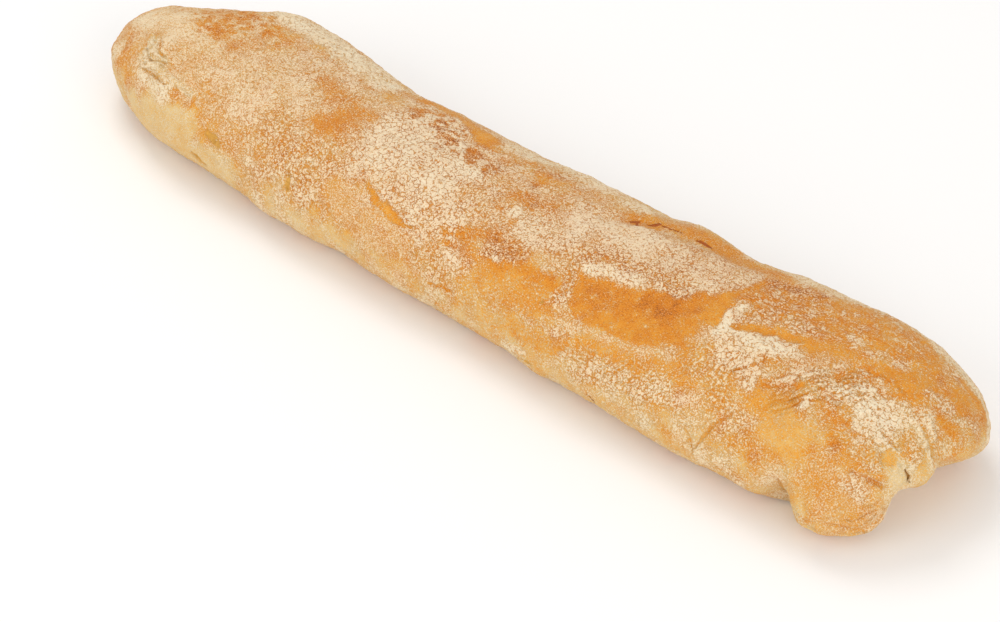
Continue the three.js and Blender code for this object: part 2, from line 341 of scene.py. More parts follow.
PATCHES = (
    # the back, from end to end
    Patch("flour down the back", ((-190, -70), (-90, -78), (40, -80), (150, -76), (220, -80)), reach=17,
          flour=0.7, bake=0.36, edge=1.6, crackle=0.5, broken=0.25),
    Patch("gold low on the back", ((-150, -100), (-60, -104), (60, -102), (180, -100)), reach=9, flour=0.4,
          bake=0.46, edge=1.5, broken=0.4),
    # the slim tip
    Patch("floured slim tip", ((-215, 15), (-195, 25), (-165, 34)), reach=30, flour=0.66, bake=0.45,
          crackle=0.2),
    Patch("cream above the pinch", ((-222, 10), (-206, 20), (-200, 32)), reach=13, flour=0.78, bake=0.36,
          crackle=0.1),
    Patch("pale nose of the tip", ((-234, 70),), reach=6, flour=0.78, bake=0.25),
    Patch("golden band round the tip", ((-231, 50), (-224, 62), (-215, 78)), reach=3.5, flour=0.46,
          bake=0.58, crackle=0.7),
    Patch("cream above the band", ((-236, 20), (-226, 30)), reach=6, flour=0.85, bake=0.3),
    Patch("flour below the pinch", ((-208, 62), (-194, 64), (-182, 66)), reach=6, flour=0.85, bake=0.25,
          crackle=0.6),
    Patch("pinched skin", ((-210, 46), (-204, 54), (-196, 54)), reach=4, flour=0.75, bake=0.12,
          crackle=0.5),
    Patch("fold of the pinch", ((-193, 59), (-179, 60), (-169, 61)), reach=2.2, flour=0.7, bake=0.15),
    Patch("mottled gold behind the tip", ((-192, -22), (-176, -10), (-156, 2)), reach=15, flour=0.26,
          bake=0.66, crackle=0.9, broken=0.6),
    Patch("golden arc behind the tip", ((-207, -12), (-194, 2), (-186, 8), (-170, 14)), reach=6, flour=0.28,
          bake=0.64, crackle=0.9, broken=0.5),
    Patch("bronze heart of the arc", ((-189, 5), (-184, 10)), reach=3.5, flour=0.22, bake=0.7, crackle=0.7),
    Patch("golden arc, end", ((-170, 12), (-158, 17)), reach=5, flour=0.36, bake=0.62, crackle=0.8),
    Patch("golden arc, second", ((-184, -30), (-169, -25), (-162, -16), (-156, -2)), reach=5.5, flour=0.24,
          bake=0.68, crackle=0.9, broken=0.5),
    Patch("golden blotch", ((-160, 2), (-150, 6)), reach=4, flour=0.28, bake=0.66, crackle=0.8),
    Patch("golden drift", ((-146, 8), (-126, 18), (-108, 26)), reach=9, flour=0.42, bake=0.58, crackle=0.4,
          broken=0.3),
    # the top edge is painted paler as painted light from behind, as well as floured
    Patch("cream top edge", ((-176, -48), (-155, -50), (-132, -48), (-98, -40)), reach=10, flour=0.94,
          bake=0.3, edge=1.3, crackle=0.6),
    Patch("brown spot under the pinch", ((-177, 66),), reach=3, flour=0.5, bake=0.6),
    Patch("cream cheek", ((-192, 70), (-184, 76)), reach=5, flour=0.82, bake=0.25),
    Patch("bare golden triangle", ((-160, 56), (-161, 66), (-150, 62)), reach=6, flour=0.3, bake=0.54,
          crackle=0.7, broken=0.25),
    Patch("yellow cheek of the tip", ((-206, 92), (-188, 84), (-166, 80)), reach=8, flour=0.4, bake=0.14,
          crackle=0.0),
    Patch("yellow foot of the tip", ((-200, 104), (-170, 100), (-140, 94)), reach=8, flour=0.4, bake=0.16,
          crackle=0.0),
    Patch("golden foot of the triangle", ((-150, 66), (-138, 70), (-128, 66)), reach=7, flour=0.4,
          bake=0.48, crackle=0.6),
    Patch("white dab", ((-157, 51),), reach=3, flour=0.85, crackle=0.6),
    # the first third
    Patch("floured first third", ((-140, 28), (-104, 30)), reach=30, flour=0.72, bake=0.46, crackle=0.35),
    Patch("pale flour under the streaks", ((-134, 38), (-122, 38)), reach=10, flour=0.76, crackle=0.2),
    Patch("pale top of the first third", ((-128, -6), (-104, -4)), reach=14, flour=0.74, bake=0.5,
          crackle=0.5),
    Patch("orange drift over the crown", ((-112, 4), (-96, 12), (-84, 20)), reach=7, flour=0.46, bake=0.6,
          crackle=0.5),
    Patch("orange blotch", ((-92, 34), (-80, 38), (-70, 42)), reach=9, flour=0.27, bake=0.6, crackle=0.3),
    Patch("orange blotch, upper arm", ((-84, 14), (-76, 18), (-67, 12)), reach=6, flour=0.32, bake=0.62,
          crackle=0.4),
    Patch("crackled flour on the flank", ((-112, 58), (-92, 62), (-70, 60)), reach=12, flour=0.66,
          bake=0.52, crackle=0.9),
    Patch("skin of the blister", ((-86, 66),), reach=5.5, flour=0.9, bake=0.3, crackle=0.5),
    Patch("crackled flour below the blister", ((-92, 72), (-76, 76), (-54, 80)), reach=9, flour=0.72,
          bake=0.5, crackle=1.0),
    # the dusted middle
    Patch("dusted flank", ((-60, 70), (-30, 76), (-4, 72)), reach=15, flour=0.56, bake=0.48, crackle=0.1),
    Patch("heavy flour", ((-56, 22), (-34, 28), (-8, 38)), reach=23, flour=0.89, bake=0.58, edge=1.2,
          crackle=0.6),
    Patch("heavy flour, far side", ((-58, -6), (-34, 2), (-8, 14)), reach=18, flour=0.87, bake=0.62,
          edge=1.2, crackle=0.6),
    Patch("heavy flour, lower edge", ((-36, 52), (-20, 58), (-4, 56)), reach=8, flour=0.84, bake=0.6,
          crackle=0.7),
    Patch("golden top strip", ((-72, -48), (-53, -44), (-37, -36)), reach=3.5, flour=0.24, bake=0.55,
          edge=0.6),
    Patch("golden top strip, wide end", ((-36, -35), (-27, -33), (-18, -31)), reach=4.5, flour=0.1,
          bake=0.58, edge=0.5),
    Patch("golden top strip, tail", ((-18, -30), (-7, -32), (2, -34)), reach=2.5, flour=0.35, bake=0.56,
          edge=0.6),
    Patch("specks behind the flour", ((-66, -24), (-50, -26)), reach=6, flour=0.3, bake=0.74, crackle=0.9,
          broken=0.5),
    Patch("red specks", ((-49, -20), (-40, -16), (-34, -6)), reach=7, flour=0.4, bake=0.8, crackle=0.9,
          broken=0.6),
    Patch("red specks, lower", ((-28, -6), (-12, 0)), reach=5, flour=0.4, bake=0.76, crackle=0.9,
          broken=0.6),
    Patch("torn red spot", ((-27, -10), (-24, -12)), reach=1.8, flour=0.2, bake=0.8, edge=0.6, crackle=0.7),
    Patch("peeled golden crescent", ((-53, 54), (-49, 59), (-42, 62), (-33, 65), (-24, 66), (-15, 65)),
          reach=2.4, flour=0.06, bake=0.52, rise=-0.8, edge=0.3, crackle=0.2, lost=0.85),
    Patch("dust right of the flour", ((10, 22), (30, 18), (48, 12)), reach=20, flour=0.68, bake=0.56,
          crackle=0.5),
    Patch("gold mottling", ((0, 60), (8, 57), (14, 52)), reach=4.5, flour=0.3, bake=0.64, crackle=0.8,
          broken=0.3),
    Patch("bronze spot", ((22, 49),), reach=4, flour=0.34, bake=0.7, crackle=0.7),
    Patch("small golden spot", ((25, 36),), reach=2.5, flour=0.3, bake=0.55),
    Patch("small golden spot, second", ((13, 31),), reach=2, flour=0.3, bake=0.58),
    Patch("brown band", ((14, 15), (24, 9), (34, 10)), reach=4, flour=0.44, bake=0.72, crackle=0.7),
    Patch("brown band, far", ((12, -22), (15, -34)), reach=4, flour=0.46, bake=0.64, crackle=0.6),
    Patch("white dab on the brown band", ((20, 27),), reach=3.5, flour=0.9, crackle=0.6),
    Patch("white patch above the gold", ((34, 37), (45, 32)), reach=8, flour=0.9, crackle=0.5),
    Patch("coarse flour on the flank", ((-2, 76), (10, 78)), reach=8, flour=0.68, bake=0.48, crackle=0.8),
    # the bronze hollow and round it
    Patch("floured shoulder of the hollow", ((52, 18), (78, 10), (104, 2), (124, -10)), reach=23,
          flour=0.74, bake=0.62, crackle=0.45),
    Patch("cream on the shoulder", ((48, 4), (66, -2), (84, -8)), reach=9, flour=0.84, crackle=0.3),
    Patch("crackled foot of the shoulder", ((60, 34), (84, 24), (108, 12)), reach=6, flour=0.68, bake=0.64,
          crackle=0.8),
    # the back edge is painted paler as painted light from behind, as well as floured
    Patch("pale edge of the back", ((-14, -46), (4, -50), (30, -54), (56, -48)), reach=9, flour=0.86,
          bake=0.38, edge=1.3, crackle=0.5),
    Patch("golden flank", ((28, 68), (45, 66), (60, 62)), reach=9, flour=0.3, bake=0.5, crackle=0.6),
    Patch("speckled dark patch", ((26, 54), (37, 50)), reach=5.5, flour=0.55, bake=0.7, crackle=0.9),
    Patch("white rim below it", ((29, 58), (36, 59), (40, 57)), reach=1.6, flour=0.9, edge=0.7),
    Patch("orange under the rim", ((34, 62), (47, 56), (57, 56), (61, 57)), reach=3.5, flour=0.16,
          bake=0.6),
    Patch("bronze hollow", ((78, 54), (98, 50), (114, 46), (124, 40)), reach=9.5, flour=0.12, bake=0.68,
          rise=-0.3, edge=0.5, crackle=0.35),
    Patch("bronze hollow, lower edge", ((92, 61), (110, 58), (128, 48)), reach=5, flour=0.1, bake=0.62,
          edge=0.6, crackle=0.2),
    Patch("bronze hollow, upper lobe", ((108, 36), (118, 28), (128, 18)), reach=6.5, flour=0.1, bake=0.7,
          rise=-0.2, edge=0.5, crackle=0.2),
    Patch("darkest bronze", ((108, 37), (116, 35)), reach=6, flour=0.06, bake=0.76),
    *(Patch("flour dot in the bronze", (place,), 1.3, flour=0.42, bake=0.5) for place in BRONZE_DOTS),
    Patch("tongue of flour", ((66, 47), (68, 54), (69, 60)), reach=4.2, flour=0.7, bake=0.6, rise=0.2,
          edge=0.7, crackle=0.9),
    Patch("cream lip of the shoulder", ((74, 38), (84, 34), (94, 29)), reach=3.8, flour=0.86, rise=0.3,
          edge=0.7, crackle=0.5),
    Patch("flour right of the lobe", ((104, 24), (115, 20)), reach=4.5, flour=0.74, rise=0.2, edge=0.7,
          crackle=0.9),
    Patch("pale streak under the bronze", ((78, 69), (85, 68), (99, 67), (115, 64), (126, 60)), reach=2.4,
          flour=0.62, bake=0.46, crackle=0.1),
    Patch("golden under the streak", ((84, 77), (106, 70)), reach=4, flour=0.24, bake=0.5),
    Patch("yellow flank", ((22, 84), (45, 86), (69, 80)), reach=8, flour=0.4, bake=0.36, crackle=0.7),
    Patch("golden foot of the flank", ((54, 84), (66, 84), (78, 79)), reach=5, flour=0.26, bake=0.48,
          crackle=0.6),
    Patch("white scrapes", ((48, 97), (60, 94)), reach=2, flour=0.85),
    Patch("white scrapes, right", ((82, 83), (91, 80)), reach=2, flour=0.8),
    Patch("orange flank", ((116, 72), (130, 67), (144, 62)), reach=5.5, flour=0.3, bake=0.54, crackle=0.6),
    Patch("floured flank", ((90, 84), (110, 80), (134, 74)), reach=8, flour=0.7, bake=0.4, crackle=0.95),
    Patch("smooth cream flank", ((148, 80), (162, 76)), reach=5, flour=0.66, bake=0.3, crackle=0.4),
    # along the back crease
    Patch("gold along the back crease", ((66, -30), (82, -46), (96, -51), (113, -52), (134, -46)), reach=6,
          flour=0.28, bake=0.6),
    Patch("cream rim behind it", ((60, -66), (90, -74), (125, -70)), reach=9, flour=0.6, bake=0.3),
    # the collar: flour that cracked open as the broad end swelled
    Patch("golden channel", ((139, -34), (137, -22), (136, -10), (131, 0), (132, 14), (134, 28)), reach=4.2,
          flour=0.05, bake=0.6, edge=0.7),
    Patch("cream ring of the collar", ((142, -24), (141, -8), (141, 6), (141, 20), (143, 34)), reach=3.8,
          flour=1.1, bake=0.42, rise=0.6, edge=0.5, crackle=0.15),
    Patch("cream plate of the collar", ((148, 33), (158, 29), (168, 23), (175, 22)), reach=7.5, flour=0.98,
          bake=0.48, rise=0.4, edge=0.7, crackle=0.4),
    Patch("lower plate of the collar", ((150, 42), (158, 46), (166, 48)), reach=8, flour=0.84, bake=0.52,
          rise=0.2, edge=0.8, crackle=0.7),
    Patch("speckle left of the collar", ((140, 54), (150, 58), (160, 64)), reach=7, flour=0.55, bake=0.48,
          crackle=0.9),
    Patch("knob of the plate", ((179, 24),), reach=3, flour=0.88, rise=0.5, edge=0.6),
    Patch("streaked crown of the hip", ((148, -12), (160, -20), (176, -24)), reach=14, flour=0.62,
          bake=0.62, crackle=0.9, streak=0.5),
    Patch("brown behind the crown", ((141, -34), (152, -42), (160, -44)), reach=5, flour=0.54, bake=0.74,
          crackle=1.0, streak=0.3),
    Patch("bare flecks on the crown", ((146, -16), (162, -24), (180, -26)), reach=13, flour=0.3, bake=0.64,
          crackle=0.9, broken=0.6),
    Patch("cream rim behind the hip", ((138, -60), (170, -62), (200, -60), (222, -64)), reach=7, flour=0.82,
          bake=0.34, edge=1.3),
    Patch("flour line above the tongue", ((146, 17), (153, 6), (162, 0), (170, -6), (180, -10)), reach=3.4,
          flour=0.72, bake=0.6, crackle=0.7, streak=0.7),
    Patch("golden back of the hip", ((184, -38), (200, -36), (216, -42)), reach=15, flour=0.3, bake=0.58,
          crackle=0.7, streak=0.5, broken=0.3),
    Patch("golden tongue, root", ((146, 24), (153, 16), (161, 10), (172, 5)), reach=2.2, flour=0.06,
          bake=0.58, rise=-0.4, edge=0.5, crackle=0.2),
    Patch("golden tongue", ((176, 2), (187, 0), (197, -2), (208, -8), (220, -12)), reach=6, flour=0.14,
          bake=0.56, rise=-0.1, crackle=0.3, streak=0.5),
    Patch("dab on the back of the hip", ((187, -20),), reach=2, flour=0.75),
    Patch("flour on the hip", ((199, -15), (203, -18)), reach=3.4, flour=0.7, crackle=0.6, streak=0.8),
    Patch("flour on the hip, right", ((210, -19), (214, -23)), reach=3.4, flour=0.72, crackle=0.6,
          streak=0.8),
    # wrinkles of the broad end
    Patch("golden belly of the wrinkles", ((178, 56), (186, 54), (188, 46)), reach=8, flour=0.18, bake=0.52,
          crackle=0.2),
    Patch("wrinkled ground", ((186, 38), (194, 26), (204, 14)), reach=12, flour=0.48, bake=0.56,
          crackle=0.6, streak=0.0),
    Patch("dust over the wrinkles", ((182, 34), (188, 20), (192, 12)), reach=6, flour=0.66, crackle=0.3),
    Patch("white dab in the wrinkles", ((194, 46),), reach=3, flour=0.9),
    Patch("flour above the wrinkles", ((203, 5),), reach=3, flour=0.82),
    Patch("cream sheet over the broad end", ((208, 28), (213, 19), (220, 17), (228, 17)), reach=6,
          flour=0.78, bake=0.5, rise=0.2, edge=0.9, crackle=0.6),
    Patch("cream sheet, heart", ((219, 34), (223, 24), (227, 14)), reach=5.5, flour=0.88, bake=0.45,
          rise=0.3, edge=0.8, crackle=0.6),
    Patch("orange between the sheets", ((209, 46), (216, 45), (222, 41)), reach=2.2, flour=0.26, bake=0.6),
    Patch("cream sheet above the ear", ((221, 42), (228, 44), (233, 44)), reach=5.5, flour=0.88, bake=0.42,
          rise=0.35, edge=0.7, crackle=0.5),
    Patch("link of flour", ((229, 34), (231, 27)), reach=3, flour=0.8, crackle=0.5),
    Patch("golden top of the broad end", ((221, -6), (231, -26), (239, -48)), reach=7, flour=0.24,
          bake=0.56, crackle=0.4, streak=0.5),
    Patch("flour on the far corner", ((232, -22), (238, -33)), reach=4, flour=0.74, crackle=0.7,
          streak=0.3),
    Patch("flour on the far corner, low", ((244, -27), (247, -44)), reach=4, flour=0.74, crackle=0.7),
    Patch("orange upper corner", ((240, -12), (245, -15), (248, -20)), reach=2.8, flour=0.12, bake=0.62),
    Patch("speckled corner", ((249, -5), (253, -38)), reach=7, flour=0.46, bake=0.45, crackle=0.6),
    Patch("pale far rim", ((222, -66), (237, -72), (244, -79), (250, -88)), reach=4.5, flour=0.9,
          bake=0.25),
    Patch("orange inside the rim", ((232, -60), (241, -66), (247, -73)), reach=2, flour=0.2, bake=0.56),
    # the end face and the ear
    Patch("end face", ((241, 30), (246, 50), (245, 70)), reach=12, flour=0.74, bake=0.16, crackle=0.1),
    Patch("golden shade on the end face", ((247, 52), (249, 62), (246, 82)), reach=4, flour=0.45, bake=0.3,
          crackle=0.1),
    Patch("pale skin round the slit", ((239, 58), (241, 66), (242, 72)), reach=4, flour=0.5, bake=0.04,
          crackle=0.1),
    Patch("peach dent", ((235, 54), (237, 55)), reach=3.2, flour=0.12, bake=0.38, rise=-0.9, edge=0.5),
    Patch("speckled orange above the slit", ((237, 34), (242, 44)), reach=5, flour=0.55, bake=0.46,
          crackle=0.7),
    Patch("white side of the knob", ((236, 0), (239, 6), (242, 10)), reach=2.4, flour=0.78, bake=0.3,
          crackle=0.6),
    Patch("smooth golden flank", ((196, 66), (204, 70)), reach=9, flour=0.2, bake=0.38, crackle=0.0),
    Patch("orange brow of the ear", ((210, 68), (220, 65), (228, 66), (235, 71)), reach=4, flour=0.34,
          bake=0.54, crackle=0.5),
    Patch("ear", ((220, 82), (228, 88), (233, 96), (228, 99)), reach=13, flour=0.48, bake=0.48,
          crackle=0.0),
    Patch("orange shade on the ear", ((216, 76), (222, 82)), reach=4, flour=0.36, bake=0.54, crackle=0.3,
          broken=0.2),
    Patch("golden side of the ear", ((206, 84), (209, 94)), reach=4, flour=0.4, bake=0.38, crackle=0.1),
    Patch("flour on the ear", ((229, 76), (233, 82)), reach=3.6, flour=0.8, crackle=0.6),
    Patch("flour seam of the ear", ((228, 68), (233, 70), (237, 74)), reach=1.5, flour=0.8),
)

MARKS = (
    Mark("pinch fold", Carving.RIDGE, ((-208, 60), (-193, 59), (-179, 60), (-169, 61)), reach=2.6,
         depth=1.4),
    Mark("pinch fold, upright", Carving.RIDGE, ((-213, 40), (-208, 48), (-202, 54)), reach=2.2, depth=1.6),
    Mark("pinch crack", Carving.CREASE, ((-208, 52), (-203, 56), (-192, 53)), reach=1.3, depth=1.7),
    Mark("pinch crack, low", Carving.CREASE, ((-206, 64), (-196, 63), (-186, 64)), reach=1.2, depth=1.3),
    Mark("pinch crack, high", Carving.CREASE, ((-207, 40), (-202, 47), (-196, 50)), reach=1.2, depth=1.3),
    Mark("blister", Carving.BLISTER, ((-87, 65), (-84, 67)), reach=4.6, depth=0.9),
    Mark("bubble pit", Carving.PIT, ((-93, 73), (-91, 80)), reach=2.0, depth=1.2),
    Mark("pit in the shoulder", Carving.PIT, ((-149, 76), (-145, 77), (-141, 80)), reach=2.9, depth=1.3),
    Mark("swelling under the pit", Carving.RIDGE, ((-153, 84), (-147, 85), (-141, 86)), reach=4.0,
         depth=0.8),
    Mark("pit near the base", Carving.PIT, ((-160, 95), (-156, 97), (-152, 98)), reach=2.4, depth=1.6),
    Mark("pit near the base, second", Carving.PIT, ((-154, 104), (-149, 106)), reach=2.6, depth=1.6),
    Mark("tear", Carving.CRACK, ((63, -22), (65, -28), (67, -34)), reach=0.9, depth=0.45),
    Mark("tear, foot", Carving.CRACK, ((65, -27), (68, -21), (70, -15)), reach=0.8, depth=0.4),
    Mark("long tear", Carving.CRACK, ((70, -30), (72, -37), (73, -42)), reach=0.9, depth=0.5),
    Mark("long tear, hair", Carving.CRACK, ((72, -39), (77, -41), (83, -44)), reach=0.5, depth=0.5),
    Mark("short tear", Carving.CRACK, ((91, -46), (95, -47), (99, -48)), reach=1.2, depth=0.7),
    Mark("crease in the golden flank", Carving.CREASE, ((0, 87), (8, 86), (14, 85)), reach=1.4, depth=0.7),
    Mark("twin pits", Carving.PIT, ((63, 65),), reach=0.9, depth=0.7),
    Mark("twin pits, second", Carving.PIT, ((68, 66),), reach=0.8, depth=0.6),
    Mark("pit in the flank", Carving.PIT, ((59, 99), (64, 99)), reach=1.2, depth=1.0),
    Mark("crack in the flank", Carving.CRACK, ((93, 98), (98, 98), (102, 104)), reach=0.6, depth=0.9),
    Mark("pale seam", Carving.RIDGE, ((114, 67), (108, 76), (105, 81)), reach=1.4, depth=0.5),
    Mark("groove by the seam", Carving.CREASE, ((116, 70), (110, 78)), reach=1.3, depth=0.5),
    Mark("right fold", Carving.CREASE, ((170, 68), (164, 77), (160, 86), (157, 94)), reach=1.1, depth=0.9),
    Mark("right fold, lip", Carving.RIDGE, ((168, 65), (161, 76), (157, 86)), reach=1.7, depth=0.6),
    Mark("left fold", Carving.CREASE, ((152, 83), (154, 88), (157, 95)), reach=1.3, depth=0.9),
    Mark("crease in the cream sheet", Carving.CREASE, ((224, 34), (228, 40), (233, 43), (237, 46)),
         reach=1.0, depth=0.8),
    Mark("crease over the end", Carving.CREASE, ((236, 9), (241, 15), (245, 24), (247, 34)), reach=1.5,
         depth=1.1),
    Mark("pinched knob", Carving.RIDGE, ((236, -2), (240, 4), (243, 9)), reach=2.0, depth=1.3),
    Mark("slit", Carving.PIT, ((242, 57), (244, 62), (244, 68)), reach=1.15, depth=2.4),
    Mark("skin round the slit", Carving.RIDGE, ((240, 58), (241, 65), (242, 71)), reach=3.6, depth=1.0),
    Mark("fold left of the ear", Carving.CREASE, ((199, 88), (198, 100), (200, 110)), reach=1.7, depth=1.0),
    Mark("brow fold of the ear", Carving.CREASE, ((228, 67), (234, 71), (238, 76)), reach=1.5, depth=0.9),
    Mark("crack in the plate", Carving.CREASE, ((162, 45), (159, 50)), reach=1.0, depth=0.8),
    Mark("crack in the plate, upper", Carving.CREASE, ((150, 30), (155, 33), (158, 39)), reach=0.7,
         depth=0.5),
    Mark("crack across the plate", Carving.CREASE, ((166, 26), (165, 33), (168, 38)), reach=0.7, depth=0.5),
)

WRINKLINGS = (
    Wrinkling("pinched tip", ((-216, 44), (-206, 52), (-196, 54), (-186, 56)), reach=8, spacing=2.0,
              height=0.5, flour=0.3),
    Wrinkling("broad end", ((178, 60), (184, 49), (191, 36), (198, 24), (204, 13), (213, 9), (224, 14)),
              reach=13, spacing=1.9, height=0.75, flour=0.45),
    Wrinkling("broad end, lower folds", ((187, 54), (194, 43), (202, 35), (210, 31), (219, 36)), reach=8,
              spacing=2.1, height=0.6, flour=0.4),
    Wrinkling("brow of the ear", ((206, 62), (216, 56), (228, 56)), reach=6, spacing=2.6, height=0.5,
              flour=0.4),
    Wrinkling("end face", ((239, 24), (245, 44), (246, 64)), reach=11, spacing=2.6, height=0.3, flour=0.3),
    Wrinkling("side of the ear", ((204, 74), (203, 90), (203, 104)), reach=7, spacing=3.0, height=0.5,
              flour=0.2),
    Wrinkling("foot of the ear", ((208, 92), (214, 99), (223, 101), (233, 103), (239, 98), (240, 86)),
              reach=8, spacing=3.2, height=1.1, flour=0.05),
)


@dataclass(frozen=True)
class Unevenness:
    """How much a layer varies without any patch.

    Attributes:
        value: which of the noises' three values it follows.
        broad: how much it drifts over the loaf.
        under: how much it varies over the width of a finger, before the patches are laid on.
        over: the same, after them.
    """

    value: int
    broad: float
    under: float = 0.0
    over: float = 0.0


UNEVENNESS = {
    "flour": Unevenness(value=2, broad=0.2, under=0.3, over=0.14),
    "bake": Unevenness(value=1, broad=0.1, under=0.16, over=0.1),
    "crackle": Unevenness(value=0, broad=0.5),
}

# how patches fray and break up
FRAY_BROAD = 0.7  # how much the broad noise bends an outline, beside the middling one
FRAY_FINE = 0.6  # the same for the fine noise
FRAYED_SHARE = 0.6  # how far an outline frays, as a share of the patch's reach
FRAYED_REACH_MM = 14  # the reach past which it frays no further
OUTER_REACH = 1.6  # the reach past which nothing of a patch is left, as a share of its own
OUTER_MARGIN_MM = 3  # and so much more
ISLAND_STRETCH = (0.6, 1, 1)  # draws islands out along the loaf
ISLAND_EDGE = 0.08  # how soft their edges are

# the swelling beside a mark, in shares of the mark's reach
LIP_AT = 1.5  # where it is highest, and where the mark's attribute has faded out
LIP_WIDTH = 0.5

# wrinkles
FOLD_LENGTH = 4.5  # how many times longer a fold is than it is wide
FOLD_SHIFT = 11.3  # sets each wrinkling's pattern apart from the last one's
VALLEY_WIDTH = 0.16  # as a share of the noise's height
RIDGE_MEAN = 0.6  # the height that stays where it is, between valley and ridge
FOLD_FADE: Range = (1.15, 0.45)  # where folds set in and are full beside their line, over their reach
FOLD_END = 0.6  # how far from the line's ends they are full, over their reach

# what creases and ridges do to flour and bake
CREASE_FLOUR_LOSS = 0.5
CREASE_BROWNING = 0.15
RIDGE_PALENESS = 0.3

# how far the finer mesh reaches round marks and wrinkles, in shares of their reach
MARK_ZONE = 1.3
ZONE_MARGIN_MM = 0.5
FOLD_ZONE = 0.7


# ---- Finishes ----


@dataclass(frozen=True)
class CrustPatterns:
    """What every part of the crust's material reads.

    Attributes:
        add: adds a node to the material's tree.
        place: the Object coordinates.
        layers: the crust's attributes by their names.
        noises: the noises by their names.
    """

    add: Callable[..., bpy.types.Node]
    place: bpy.types.NodeSocket
    layers: dict[str, bpy.types.NodeSocket]
    noises: dict[str, bpy.types.Node]


